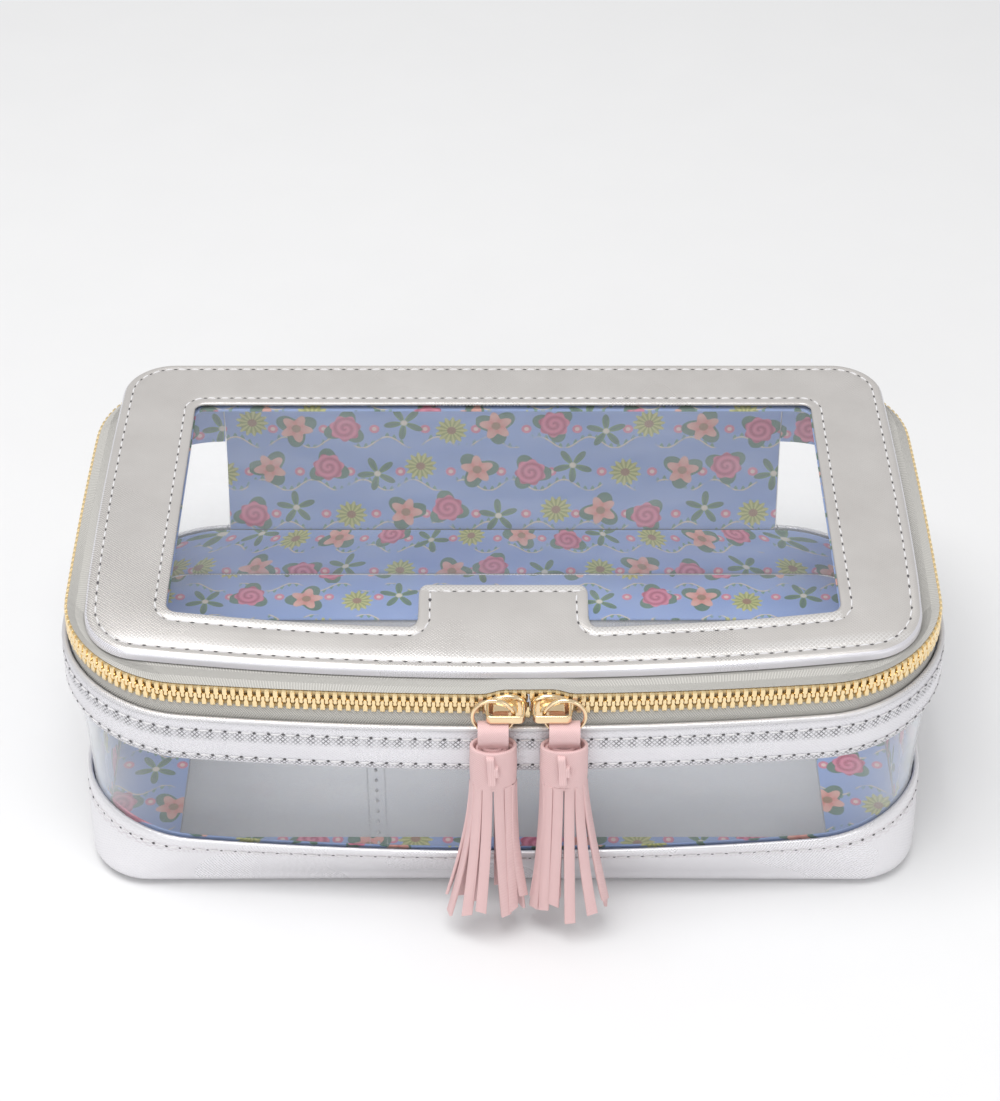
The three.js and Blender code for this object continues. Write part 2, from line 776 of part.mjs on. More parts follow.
// The strap's eye round the ring's lowest point, with both legs running down into the cap
function tasselLoop(name) {
  const rear = ringWire + seat;
  const front = -strapEye;
  const legRear = capMiddle + strap - seat / 2;
  const legFront = capMiddle - strap + seat / 2;
  const neck = -capDrop + seat;
  const shape = new THREE.Shape();
  shape.moveTo(legRear, -capDrop - capHeight / 2);
  shape.lineTo(legRear, neck);
  shape.lineTo(rear + strap, -rear);
  const fold = eyeRounding + strap;
  const high = strapEye + strap;
  shape.lineTo(rear + strap, high - fold);
  shape.absarc(rear + strap - fold, high - fold, fold, 0, Math.PI / 2);
  shape.absarc(front - strap + fold, high - fold, fold, Math.PI / 2, Math.PI);
  shape.lineTo(front - strap, -rear);
  shape.lineTo(legFront, neck);
  shape.lineTo(legFront, -capDrop - capHeight / 2);
  shape.closePath();
  const eye = new THREE.Path();
  eye.moveTo(rear, -rear);
  eye.lineTo(rear, strapEye - eyeRounding);
  eye.absarc(rear - eyeRounding, strapEye - eyeRounding, eyeRounding, 0, Math.PI / 2);
  eye.absarc(front + eyeRounding, strapEye - eyeRounding, eyeRounding, Math.PI / 2, Math.PI);
  eye.lineTo(front, -rear + strap / 2);
  eye.lineTo(front + strapEye / 2, -rear);
  eye.closePath();
  shape.holes.push(eye);
  const geometry = new THREE.ExtrudeGeometry(shape, {
    depth: strapWidth, bevelEnabled: false, curveSegments: roundSteps,
  });
  geometry.translate(0, 0, -strapWidth / 2);
  geometry.rotateY(Math.PI / 2).rotateX(Math.PI / 2);
  return mesh(name, geometry, pinkLeather);
}

// The cap is one strip of leather rolled into an oval, and its lower part is cut into the fringe
function ovalPoint(angle, inset, z) {
  return new THREE.Vector3(
    (capHalfWidth - inset) * Math.cos(angle), (capHalfDepth - inset) * Math.sin(angle), z,
  );
}

function capTube() {
  const sides = 2 * fringeStrips;
  const loop = (inset, z) => {
    const points = [];
    for (let i = 0; i < sides; i++) points.push(ovalPoint((i / sides) * 2 * Math.PI, inset, z));
    return points;
  };
  return band([loop(0, 0), loop(capLeather, 0), loop(capLeather, -capHeight), loop(0, -capHeight)], true);
}

function fringeStrip(index, sense) {
  const angle = ((index + 0.5) / fringeStrips) * 2 * Math.PI;
  const along = new THREE.Vector2(-capHalfWidth * Math.sin(angle), capHalfDepth * Math.cos(angle)).normalize();
  const out = new THREE.Vector2(along.y, -along.x);
  const length = fringeLength * (1 - fringeStagger * (index % 3));
  const loops = [[], [], [], []];
  fallShares.forEach((fall, k) => {
    const centre = ovalPoint(angle, capLeather / 2, -capHeight + capLeather - fall * length);
    const spread = fringeSpread * spreadShares[k];
    centre.x += out.x * spread * (out.x * sense < 0 ? inwardShare : 1);
    centre.y += Math.min(out.y, 0) * spread * forwardShare;
    [[-1, -1], [1, -1], [1, 1], [-1, 1]].forEach(([a, b], corner) => {
      const w = (a * fringeStripWidth) / 2;
      const t = (b * capLeather * stripThinning) / 2;
      loops[corner].push(new THREE.Vector3(
        centre.x + along.x * w + out.x * t, centre.y + along.y * w + out.y * t, centre.z,
      ));
    });
  });
  return band(loops, false, (p) => [p.x, p.y]);
}

function tasselSkirt(name, sense) {
  const parts = [capTube()];
  for (let i = 0; i < fringeStrips; i++) parts.push(fringeStrip(i, sense));
  return mesh(name, fuse(...parts), pinkLeather);
}

// A short end of the leather thread that ties the roll, standing out of the front of the cap
function tasselTie(name) {
  const shape = new THREE.Shape();
  shape.absarc(0, 0, tieRadius, 0, 2 * Math.PI);
  const geometry = new THREE.ExtrudeGeometry(shape, {
    depth: tieLength, bevelEnabled: false, curveSegments: roundSteps,
  });
  geometry.translate(0, -capHalfDepth - seat - tieRadius, -tieLength - tieDrop);
  return mesh(name, geometry, pinkLeather);
}

// One pull with its ring and tassel: sense is -1 for the left one and +1 for the right one
function pull(side, sense) {
  const group = new THREE.Group();
  const x = pullsMeetX + sense * sliderCentre;
  const chainFront = (at) => -(zipHalfDepth + zipFrontBow * (1 - (at / zipHalfWidth) ** 2));
  group.position.set(x, chainFront(x), zipHeight);
  group.add(sliderBody('slider_' + side, -sense));
  group.add(sliderBail('slider_bail_' + side));
  const hang = new THREE.Group();
  hang.position.set(sense * ringOutward, -ringStandOff, ringLift);
  hang.add(pullRing('pull_ring_' + side));
  const loop = new THREE.Group();
  loop.position.set(0, 0, -ringRadius);
  loop.add(tasselLoop('tassel_loop_' + side));
  const skirt = new THREE.Group();
  skirt.position.set(0, capMiddle, -capDrop);
  skirt.add(tasselSkirt('tassel_' + side, sense));
  skirt.add(tasselTie('tassel_tie_' + side));
  loop.add(skirt);
  hang.add(loop);
  group.add(hang);
  return group;
}

const bag = new THREE.Group();
bag.add(lidFrame(), lidWindow(), lidLining(), lidBinding(), lidBackSkirt());
bag.add(upperTape(), teethRow('lid_zip_teeth', 1));
bag.add(upperBand(), rolledEdge(), upperLining(), clearWall(), lowerBand(), lowerLining());
bag.add(basePanel(), baseWindow(), baseLining(), backPanel(), backLining());
bag.add(lowerTape(), teethRow('case_zip_teeth', -1));
bag.add(endStop('zip_stop_left', true), endStop('zip_stop_right', false));
bag.add(pull('left', -1), pull('right', 1));

// The origin is under the middle of the whole bag, tassels included
const reach = new THREE.Box3().setFromObject(bag);
bag.position.y = -(reach.min.y + reach.max.y) / 2;

export default bag;
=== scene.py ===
import math

import bpy
import numpy as np
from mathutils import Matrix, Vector
from mathutils.geometry import delaunay_2d_cdt


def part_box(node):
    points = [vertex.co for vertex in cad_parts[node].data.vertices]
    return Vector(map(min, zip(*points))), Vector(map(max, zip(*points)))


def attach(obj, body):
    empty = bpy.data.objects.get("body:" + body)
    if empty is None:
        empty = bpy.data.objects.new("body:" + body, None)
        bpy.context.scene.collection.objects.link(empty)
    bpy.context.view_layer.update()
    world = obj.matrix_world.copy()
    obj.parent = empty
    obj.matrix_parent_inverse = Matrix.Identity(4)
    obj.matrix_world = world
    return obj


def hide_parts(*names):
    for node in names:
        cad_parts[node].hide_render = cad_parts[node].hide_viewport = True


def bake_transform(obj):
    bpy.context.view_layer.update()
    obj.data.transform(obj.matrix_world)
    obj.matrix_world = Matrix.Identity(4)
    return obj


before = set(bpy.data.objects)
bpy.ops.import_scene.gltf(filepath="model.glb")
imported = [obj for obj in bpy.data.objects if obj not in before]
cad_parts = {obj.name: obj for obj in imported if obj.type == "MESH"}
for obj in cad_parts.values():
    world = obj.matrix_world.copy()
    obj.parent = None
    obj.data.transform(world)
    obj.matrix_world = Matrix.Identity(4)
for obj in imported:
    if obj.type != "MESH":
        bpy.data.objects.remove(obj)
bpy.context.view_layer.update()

# Base panel: a frame of silver leatherette that the bag stands on, cut from one sheet with a large
# rectangular opening. Its outer edge is sewn to the turned-in foot of the lower band.
MM = 0.001
FULL_TURN = 2 * math.pi
LID_HALF_WIDTH, LID_HALF_DEPTH = 124.7, 71.2
CASE_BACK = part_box("lid_frame")[1].y / MM - LID_HALF_DEPTH
CORNER_STEPS, SIDE_STEPS, FRONT_STEPS, BACK_STEPS = 14, 18, 120, 30
LEATHER = 1.6
SEAM_GAP = 0.3
FOOT_ROUNDING = 6.0
# An outline's sizes: half width, half depth, corner radius, and how far its front and sides bow out.
FOOT_SIZES = (129.5, 78.5, 19.0, -0.7, 0.6)
OPENING_SIZES, OPENING_FORWARD = (103.0, 54.6, 2.5), 4.6
GRAIN_DIAGONALS = ((0.72, 0.78), (-0.72, 0.86))
SEAM_STROKE_PITCH = 1.5
DULLED = (0.72, 0.72, 0.74)
rng = np.random.default_rng(7)


def unit(vectors):
    return vectors / np.maximum(np.linalg.norm(vectors, axis=-1, keepdims=True), 1e-9)


def outline(half_width, half_depth, radius, front_bow=0.0, side_bow=0.0):
    """A bowed rectangle with round corners; it runs round the left side, front, right side and back."""
    cx, cy = half_width - radius, half_depth - radius
    points = []

    def corner(x, y, start):
        turn = start + np.linspace(0, math.pi / 2, CORNER_STEPS + 1)
        points.extend(zip(x + radius * np.cos(turn), y + radius * np.sin(turn)))

    def straight(x0, y0, x1, y1, steps):
        share = np.arange(1, steps) / steps
        points.extend(zip(x0 + (x1 - x0) * share, y0 + (y1 - y0) * share))

    corner(-cx, cy, math.pi / 2)
    straight(-half_width, cy, -half_width, -cy, SIDE_STEPS)
    corner(-cx, -cy, math.pi)
    straight(-cx, -half_depth, cx, -half_depth, FRONT_STEPS)
    corner(cx, -cy, 1.5 * math.pi)
    straight(half_width, -cy, half_width, cy, SIDE_STEPS)
    corner(cx, cy, 0)
    straight(cx, half_depth, -cx, half_depth, BACK_STEPS)
    x, y = np.array(points).T
    bow = np.where(y < 0, front_bow, 0.0)
    return np.column_stack((
        x * (1 + side_bow * (1 - (y / half_depth) ** 2) / half_width),
        y * (1 + bow * (1 - (x / half_width) ** 2) / half_depth),
    ))


def moved(line, distance):
    """The outline moved outwards by a distance, each point along its own normal."""
    before, after = np.roll(line, 1, 0), np.roll(line, -1, 0)
    along = unit(unit(line - before) + unit(after - line))
    return line + distance * np.column_stack((along[:, 1], -along[:, 0]))


def at_height(line, z):
    return np.column_stack((line, np.full(len(line), float(z))))


def inside(points, loop):
    """Which points lie inside a closed loop, by counting crossings."""
    x, y = points[:, 0, None], points[:, 1, None]
    ax, ay = loop.T
    bx, by = np.roll(loop, -1, 0).T
    crossing = (bx - ax) * (y - ay) / np.where(by == ay, 1e-12, by - ay) + ax
    return (((ay > y) != (by > y)) & (x < crossing)).sum(1) % 2 == 1


def edge_distance(points, loop):
    """The shortest distance from each point to a closed loop."""
    best = np.full(len(points), 1e9)
    for start, end in zip(loop, np.roll(loop, -1, 0)):
        d = end - start
        share = np.clip(((points - start) @ d) / max(d @ d, 1e-9), 0, 1)
        best = np.minimum(best, np.linalg.norm(points - start - share[:, None] * d, axis=1))
    return best


def cut_sheet(outer, hole=None, rings=(), spacing=7.0):
    """A flat sheet cut to an outline, with an opening: its points and triangles.
    Rings are further lines that the triangles keep, such as the lines of stitching."""
    within = lambda some: inside(some, outer) & (~inside(some, hole) if hole is not None else True)
    loops = [outer, *([hole] if hole is not None else []), *rings]
    low, high = outer.min(0), outer.max(0)
    gx, gy = np.meshgrid(np.arange(low[0], high[0], spacing), np.arange(low[1], high[1], spacing))
    fill = np.column_stack((gx.ravel(), gy.ravel()))
    fill = fill[within(fill)]
    near = np.min([edge_distance(fill, loop) for loop in loops], axis=0)
    points = np.vstack([*loops, fill[near > spacing / 3]])
    edges, first = [], 0
    for loop in loops:
        edges += [(first + i, first + (i + 1) % len(loop)) for i in range(len(loop))]
        first += len(loop)
    found, _, faces, *_ = delaunay_2d_cdt([Vector(p) for p in points], edges, [], 0, 1e-5)
    points, faces = np.array([tuple(p) for p in found]), np.array([list(f) for f in faces])
    return points, faces[within(points[faces].mean(1))]


def thick(points, faces, thickness):
    """Closes a sheet: a second face below the first one, and a wall along every open edge."""
    count = len(points)
    edges = dict.fromkeys((a, b) for face in faces for a, b in zip(face, np.roll(face, -1)))
    closed = [tuple(f) for f in faces] + [tuple(f[::-1] + count) for f in faces]
    closed += [(b, a, a + count, b + count) for a, b in edges if (b, a) not in edges]
    return np.vstack((points, points - np.array((0, 0, thickness)))), closed


def sew(name, shape, finish, body, replaces=(), crease=50, at=(0, 0, 0), blend=None):
    """Makes a piece from its points and faces in mm: its mesh, finish, body and the solids it
    stands for. A shape's third part gives each face corner its place on the flat material, in mm;
    without it the plan is used."""
    points, faces, *cut = shape
    points = np.asarray(points) + at
    mesh = bpy.data.meshes.new(name)
    placed = (points + np.array((0, CASE_BACK, 0))) * MM
    mesh.from_pydata(placed.tolist(), [], [tuple(int(i) for i in f) for f in faces])
    flat = cut[0] if cut else points[[loop.vertex_index for loop in mesh.loops]][:, :2]
    mesh.uv_layers.new(name="cut").data.foreach_set("uv", np.asarray(flat, np.float32).ravel())
    made = bpy.data.objects.new(name, mesh)
    bpy.context.scene.collection.objects.link(made)
    mesh.materials.append(finish)
    mesh.shade_smooth()
    mesh.set_sharp_from_angle(angle=math.radians(crease))
    if blend:
        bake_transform(made)
    else:
        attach(made, body)
    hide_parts(*replaces)
    return made


def lay(name, outer, hole, top, thickness, finish, replaces, spacing=7.0, body="case", form=np.asarray):
    """Sews in a flat sheet cut to an outline, with its upper face at a height; form bends it."""
    points, faces = cut_sheet(outer, hole, spacing=spacing)
    return sew(name, thick(form(at_height(points, top)), faces, thickness), finish, body, replaces)


def maths(operation, turned=False):
    """A method that adds a Math node; turned puts the value itself last."""
    def method(self, *others):
        values = (*others, self) if turned else (self, *others)
        return self.finish.node("ShaderNodeMath", {"operation": operation}, dict(enumerate(values)))
    return method


class Weave:
    """A value in a finish. Python's + - * / on it add Math nodes to the finish that it is in."""

    def __init__(self, finish, socket):
        self.finish, self.socket = finish, socket

    __add__ = __radd__ = maths("ADD")
    __mul__ = __rmul__ = maths("MULTIPLY")
    __sub__, __rsub__ = maths("SUBTRACT"), maths("SUBTRACT", True)
    __truediv__, __pow__ = maths("DIVIDE"), maths("POWER")
    sine, size, floor, root = maths("SINE"), maths("ABSOLUTE"), maths("FLOOR"), maths("SQRT")
    least, most, whole = maths("MINIMUM"), maths("MAXIMUM"), maths("FLOORED_MODULO")
    angle = maths("ARCTAN2")

    def ripple(self):
        """A sine between 0 and 1."""
        return self.sine() * 0.5 + 0.5

    def over(self, edge, soft=0.02):
        """1 where the value is above the edge and 0 below it, with a soft step between them."""
        steps = {0: self, 1: edge - soft, 2: edge + soft, 3: 0.0, 4: 1.0}
        return self.finish.node("ShaderNodeMapRange", {"clamp": True}, steps)

    def within(self, low, high, soft=0.3):
        """1 where the value lies between low and high, with a soft step at both ends."""
        return self.over(low, soft) * (1 - self.over(high, soft))


class Finish:
    """A finish made of shader nodes. Numbers that are the same all over are set on the shader."""

    def __init__(self, name, **settings):
        self.material = bpy.data.materials.new(name)
        self.material.use_nodes = True
        self.tree = self.material.node_tree
        self.shader = self.tree.nodes["Principled BSDF"]
        for socket, value in settings.items():
            self.shader.inputs[socket.replace("_", " ")].default_value = value

    def node(self, kind, settings=None, values=None, output=0):
        made = self.tree.nodes.new(kind)
        for key, value in (settings or {}).items():
            setattr(made, key, value)
        for key, value in (values or {}).items():
            if isinstance(value, Weave):
                self.tree.links.new(value.socket, made.inputs[key])
            else:
                made.inputs[key].default_value = value
        return Weave(self, made.outputs[output])

    def cut(self):
        """Where a point lies on the flat material, in mm, and that place as across and along."""
        place = self.node("ShaderNodeUVMap", {"uv_map": "cut"})
        across = self.node("ShaderNodeSeparateXYZ", {}, {0: place})
        return place, across, Weave(self, across.socket.node.outputs[1])

    def noise(self, place, scale, detail=2.0, roughness=0.5, stretch=(1, 1, 1), turn=0.0):
        laid = self.node("ShaderNodeMapping", {}, {0: place, "Rotation": (0, 0, turn), "Scale": stretch})
        values = {"Vector": laid, "Scale": scale, "Detail": detail, "Roughness": roughness}
        return self.node("ShaderNodeTexNoise", {}, values)

    def blend(self, share, *colours):
        """Two colours mixed, each a value or three numbers."""
        first, second = (c if isinstance(c, Weave) else (*c, 1) for c in colours)
        return self.node("ShaderNodeMix", {"data_type": "RGBA"}, {0: share, 6: first, 7: second}, 2)

    def give(self, **values):
        for socket, value in values.items():
            self.tree.links.new(value.socket, self.shader.inputs[socket.replace("_", " ")])

    def bump(self, height, depth):
        """Raises the surface by a height, with its depth in mm, and gives the finished material."""
        bump = self.node("ShaderNodeBump", {}, {"Height": height, "Distance": depth * MM})
        self.tree.links.new(bump.socket, self.shader.inputs["Normal"])
        return self.material


def silver_leatherette(
    name, base, lit, grain=0.8, depth=0.09, scratch=0.5, beside=None, seam_painted_tone=(1, 1, 1), share=0.0
):
    """Silver-coated leatherette with a crosshatched grain pressed in at both diagonals. Beside says
    where a seam has drawn the leather up; there the grain's strokes are painted in another tone, as
    painted glints on the lid and as painted shade on the bands."""
    finish = Finish(name, Metallic=0.5, Coat_Weight=0.3, Coat_Roughness=0.16, Specular_IOR_Level=0.6)
    place, across, along = finish.cut()
    wander = finish.noise(place, 0.35, 4, 0.7)
    strokes = []
    for slant, lean in GRAIN_DIAGONALS:
        phase = (across * slant + along * lean) * (FULL_TURN / grain) + wander * 8
        broken = finish.noise(place, 0.9, 2, stretch=(1, 3, 1), turn=math.atan2(1, slant))
        strokes.append(phase.ripple() + (broken - 0.5) * 1.6)
    pressed = strokes[0].least(strokes[1])
    cloud = finish.noise(place, 0.045, 4, 0.6)
    worn = finish.noise(place, 0.012, 2)
    hatch = pressed.over(scratch, 0.35)
    colour = finish.blend(cloud, base, lit)
    colour = finish.blend(hatch * 0.2, colour, np.multiply(base, DULLED))
    # Painted light: beside the seams the grain's strokes are painted in the seam tone, near white for glints on
    # the lid, dark for shade on the bands.
    if beside:
        seam_painted_light = beside(finish, place, across, along) * share
        one, other = (
            (way * (FULL_TURN / SEAM_STROKE_PITCH) + wander * 3).sine() for way in (across + along, across - along)
        )
        colour = finish.blend(seam_painted_light * one.most(other).over(0.55, 0.2), colour, seam_painted_tone)
    finish.give(Base_Color=colour, Roughness=worn * 0.16 + 0.2 + hatch * 0.14)
    return finish.bump(pressed + cloud * 0.6, depth)


base_silver = silver_leatherette("silver_leatherette_base", (0.55, 0.54, 0.55), (0.68, 0.67, 0.68))
foot_line = outline(*FOOT_SIZES)
base_opening = outline(*OPENING_SIZES) - (0, OPENING_FORWARD)
lay(
    "base_frame", moved(foot_line, -FOOT_ROUNDING - SEAM_GAP), base_opening, LEATHER, LEATHER,
    base_silver, ["base_panel"],
)

# Base window: a sheet of clear vinyl that closes the opening of the base. It is sewn down round its
# edge, between the leatherette frame below and the printed frame above.
CLEAR = 0.6
HEM = 6.0
BASE_WINDOW_HEM = 3.0


def clear_vinyl(name, ripple, haze_and_shade=0.03, gloss=0.5, tint_and_shade=(0.93, 0.95, 0.98)):
    """Clear vinyl: nearly nothing seen square on, and a painted white sheen seen along it, which stands in for
    its reflection.
    """
    finish = Finish(name, Base_Color=(*tint_and_shade, 1), Roughness=0.04, IOR=1.45, Specular_IOR_Level=0.9)
    place, *_ = finish.cut()
    swell = finish.noise(place, 0.018, 2, 0.4)
    grazing = finish.node("ShaderNodeLayerWeight", {}, {"Blend": 0.5}, 1)
    painted_gloss_streaks = finish.noise(place, 0.03, 3, 0.6, stretch=(1, 3, 1)).over(0.62, 0.25)
    # Painted reflection: the sheet turns near white at grazing views and in soft streaks; the haze and tint are
    # the vinyl's own, and on the base window also painted shade.
    finish.give(Alpha=grazing ** 3 * gloss + haze_and_shade + painted_gloss_streaks * 0.04)
    return finish.bump(swell, ripple)


# The base window's grey haze is partly the vinyl's own and mostly painted shadow: it stands for the floor in
# the bag's shadow, seen through it.
base_vinyl_painted_shade = clear_vinyl("clear_vinyl_base", 0.8, 0.22, 0.5, (0.7, 0.72, 0.76))
lay(
    "base_clear_window", moved(base_opening, BASE_WINDOW_HEM), None, LEATHER + SEAM_GAP + CLEAR, CLEAR,
    base_vinyl_painted_shade, ["base_window"], 6,
)

# Printed floor lining: a frame of blue printed nylon laid on the base window. The print is a plain
# half-drop repeat of roses, blossoms, daisies and leaf sprigs, with a thin trailing stem.
LINING = 0.6
LINING_IN = LEATHER + SEAM_GAP + CLEAR + SEAM_GAP
LINING_Z = LINING_IN
REPEAT = 17.5
THREAD_PITCH = 0.5
BLUE, BLUE_LIT = (0.25, 0.37, 0.68), (0.3, 0.43, 0.76)
STEM, STEM_LEAF = (0.72, 0.62, 0.5), (0.14, 0.3, 0.17)
BUD, BUD_HEART = (0.72, 0.2, 0.3), (0.85, 0.62, 0.58)
ROSE, ROSE_DEEP, ROSE_LEAF = (0.78, 0.2, 0.32), (0.5, 0.05, 0.14), (0.06, 0.17, 0.11)
BLOSSOM, BLOSSOM_DEEP, FLOWER_HEART = (0.82, 0.42, 0.34), (0.74, 0.2, 0.16), (0.34, 0.17, 0.07)
DAISY, DAISY_DEEP = (0.58, 0.58, 0.18), (0.3, 0.34, 0.06)
SPRIG, SPRIG_LIT, SPRIG_HEART = (0.05, 0.15, 0.09), (0.2, 0.36, 0.12), (0.78, 0.72, 0.58)


def garden_print(name):
    """Blue nylon printed with a garden repeat: roses, blossoms, daisies, sprigs and small buds."""
    finish = Finish(name, Coat_Weight=0.2, Coat_Roughness=0.25, Specular_IOR_Level=0.45)
    place, across, along = finish.cut()
    row = (along / REPEAT).floor()
    shifted = across / REPEAT + row.whole(2.0) * 0.5
    column = shifted.floor()
    kind = (column + row * 3.0).whole(4.0)
    rose_here, blossom_here, daisy_here, sprig_here = (kind.within(k - 0.5, k + 0.5, 0.1) for k in range(4))
    lean = (column * 1.9 + row * 2.7).sine()
    x = (shifted - column - 0.5) * 2.0
    y = (along / REPEAT - row - 0.5) * 2.0
    dx, dy = x - lean * 0.2, y + (column * 2.3 + row).sine() * 0.2
    far = (dx * dx + dy * dy).root()
    angle = dy.angle(dx) + lean * 3.0
    cloth = finish.noise(place, 0.02, 3)
    trail = (shifted * FULL_TURN).sine() * 0.26 - y + 0.74
    leafy = (shifted * (7 * FULL_TURN)).sine() * 0.1 + 0.03 - (trail - 0.07).size()
    broken = finish.noise(place, 0.11, 2).over(0.47, 0.04)
    bud_x, bud_y = x.size() - 1.0, y - 0.1
    bud = (bud_x * bud_x + bud_y * bud_y).root()

    def lobes(petals, reach, depth, turned=0.0):
        wave = (angle * petals + turned).sine()
        return wave, (wave * depth + reach - far).over(0.0, 0.025)

    _, leaves = lobes(3, 0.66, 0.22)
    _, rose = lobes(7, 0.58, 0.05)
    cup, blossom = lobes(5, 0.52, 0.14)
    ray, daisy = lobes(13, 0.56, 0.08)
    vein, sprig = lobes(5, 0.46, 0.34, 1.0)
    layers = (
        (leafy.over(0.0, 0.03) * broken * 0.9, STEM_LEAF),
        ((0.035 - trail.size()).over(0.0, 0.02) * broken, STEM),
        ((0.2 - bud).over(0.0, 0.02), BUD),
        ((0.09 - bud).over(0.0, 0.02), BUD_HEART),
        (leaves * (rose_here + blossom_here), ROSE_LEAF),
        (rose * rose_here, finish.blend((far * 22.0 + angle).ripple(), ROSE_DEEP, ROSE)),
        (blossom * blossom_here, finish.blend(far / 0.6 + cup * 0.2, BLOSSOM_DEEP, BLOSSOM)),
        (daisy * daisy_here, finish.blend(ray * 0.5 + 0.5, DAISY_DEEP, DAISY)),
        ((0.18 - far).over(0.0, 0.03) * (blossom_here + daisy_here), FLOWER_HEART),
        (sprig * sprig_here, finish.blend(vein * 0.5 + 0.5, SPRIG_LIT, SPRIG)),
        ((0.13 - far).over(0.0, 0.03) * sprig_here, SPRIG_HEART),
    )
    colour = finish.blend(cloth, BLUE, BLUE_LIT)
    for share, shade in layers:
        colour = finish.blend(share, colour, shade)
    thread = (across * (FULL_TURN / THREAD_PITCH)).sine() * (along * (FULL_TURN / THREAD_PITCH)).sine()
    finish.give(Base_Color=colour, Roughness=cloth * 0.2 + 0.38)
    return finish.bump(thread * 0.05 + cloth * 9.0, 0.12)


floor_print = garden_print("garden_print_floor")
foot_inset = FOOT_ROUNDING * (1 - math.sqrt(0.75)) + SEAM_GAP
lay(
    "floor_lining", moved(foot_line, -LINING_IN - foot_inset), base_opening, LINING_Z + LINING, LINING,
    floor_print, ["base_lining"],
)

# Lower band: a wide strip of silver leatherette round the whole foot of the bag. It is turned in
# under the base, and its upper edge is folded and sewn over the clear wall.
LOWER_TOP, BAND_BOTTOM, BAND_TOP = 23.4, 60.6, 75.2
LOWER_SIZES = (131.0, 77.5, 35.0, 10.0, 1.5)
BAND_SIZES = (133.5, 80.0, 38.0, 10.0, 1.5)
BULGE, BULGE_HIGH = 0.25, 17
LOWER_ROW, ROW_PROUD = LOWER_TOP - 3.4, 0.12
STITCH_PITCH, STITCH_SLANT = 4.3, 0.05
ROW_END = 2.0
lower_line, band_line = outline(*LOWER_SIZES), outline(*BAND_SIZES)
OPEN = len(band_line) - BACK_STEPS + 1


def wall(z, out=0.0):
    """The line of the case wall at a height, moved outwards; it flares from foot to upper band."""
    share = float(np.interp(z, (FOOT_ROUNDING, LOWER_TOP, BAND_BOTTOM), (0, 1, 2)))
    low, high = (foot_line, lower_line) if share <= 1 else (lower_line, band_line)
    line = low + (high - low) * (share if share <= 1 else share - 1)
    return at_height(moved(line, out) if out else line, z)


def folded(profile, thickness, round_edges=3):
    """The closed section of a sheet whose outer face follows points of (outwards, up)."""
    outer = np.array(profile, float)
    along = unit(np.gradient(outer, axis=0))
    inward = np.column_stack((-along[:, 1], along[:, 0]))
    inner = outer + inward * thickness
    turn = np.linspace(0, math.pi, round_edges + 2)[1:-1]

    def edge(end, way):
        middle, half = (outer[end] + inner[end]) / 2, thickness / 2
        return [middle - inward[end] * half * math.cos(a) + way * along[end] * half * math.sin(a) for a in turn]

    return np.vstack((outer, edge(-1, 1), inner[::-1], edge(0, -1)[::-1]))


def run_along(path):
    """The distance along a path up to each of its points."""
    return np.concatenate(([0], np.cumsum(np.linalg.norm(np.diff(path, axis=0), axis=1))))


def on_path(places, run, path):
    """The points of a path at distances along it."""
    return np.column_stack([np.interp(places, run, path[:, k]) for k in range(3)])


def inside_out(points, walls):
    """Whether four-sided faces look inwards, told by the volume that they enclose."""
    a, b, c, d = (points[np.array(walls)[:, k]] for k in range(4))
    return (np.einsum("ij,ij->i", a, np.cross(b, c)) + np.einsum("ij,ij->i", a, np.cross(c, d))).sum() < 0


def loft(loops, closed=True):
    """Joins lines side by side into a closed skin, with its place on the flat material."""
    grid = np.stack(loops)
    rows, count = grid.shape[:2]
    points = grid.reshape(-1, 3)
    last = count if closed else count - 1
    run = run_along(np.vstack((grid[0], grid[0][:1])))
    rise = run_along(np.vstack((grid[:, count // 2], grid[:1, count // 2])))
    faces, cut = [], []
    for r in range(rows):
        s = (r + 1) % rows
        for i in range(last):
            j = (i + 1) % count
            faces.append((r * count + i, r * count + j, s * count + j, s * count + i))
            cut += [(run[i], rise[r]), (run[i + 1], rise[r]), (run[i + 1], rise[r + 1]), (run[i], rise[r + 1])]
    turned = inside_out(points, faces)
    if not closed:
        for end, order in ((0, 1), (count - 1, -1)):
            faces.append(tuple(r * count + end for r in range(rows))[::order])
            cut += [(run[end], rise[r]) for r in range(rows)][::order]
    if turned:
        faces = [f[::-1] for f in faces]
        flipped, first = [], 0
        for f in faces:
            flipped += cut[first:first + len(f)][::-1]
            first += len(f)
        cut = flipped
    return points, faces, cut


def wrap(name, profile, thickness, finish, replaces, part=None, line=wall, body="case"):
    """Sews one strip round the case from its section; part picks the open stretch that it covers."""
    loops = [line(z, out) for out, z in folded(profile, thickness)]
    shape = loft([part(loop) for loop in loops] if part else loops, not part)
    return sew(name, shape, finish, body, replaces)


def front_part(loop):
    return loop[:OPEN]


def back_part(loop):
    return np.vstack((loop[OPEN - 1:], loop[:1]))


def tube(rows, around):
    """The faces of a closed tube of points: its walls ring by ring, and both ends."""
    walls = [
        (r * around + a, r * around + b, (r + 1) * around + b, (r + 1) * around + a)
        for r in range(rows - 1) for a, b in ((a, (a + 1) % around) for a in range(around))
    ]
    return walls + [tuple(range(around))[::-1], tuple(range((rows - 1) * around, rows * around))]


def many(faces, size, count):
    """The faces of a small shape of so many points, for many of it in a row."""
    return [tuple(i + k * size for i in f) for k in range(count) for f in faces]


def sew_row(name, row, local, faces, finish, body, slant=0.0):
    """Sews one small shape at every place of a row; a slant turns each a little aside."""
    middle, along, side, up = row
    ahead, aside, away = np.split(local[None], 3, axis=-1)
    aside = aside + ahead * slant
    points = middle[:, None] + along[:, None] * ahead + side[:, None] * aside + up[:, None] * away
    shape = points.reshape(-1, 3), many(faces, len(local), len(middle))
    return sew(name, shape, finish, body, crease=80)


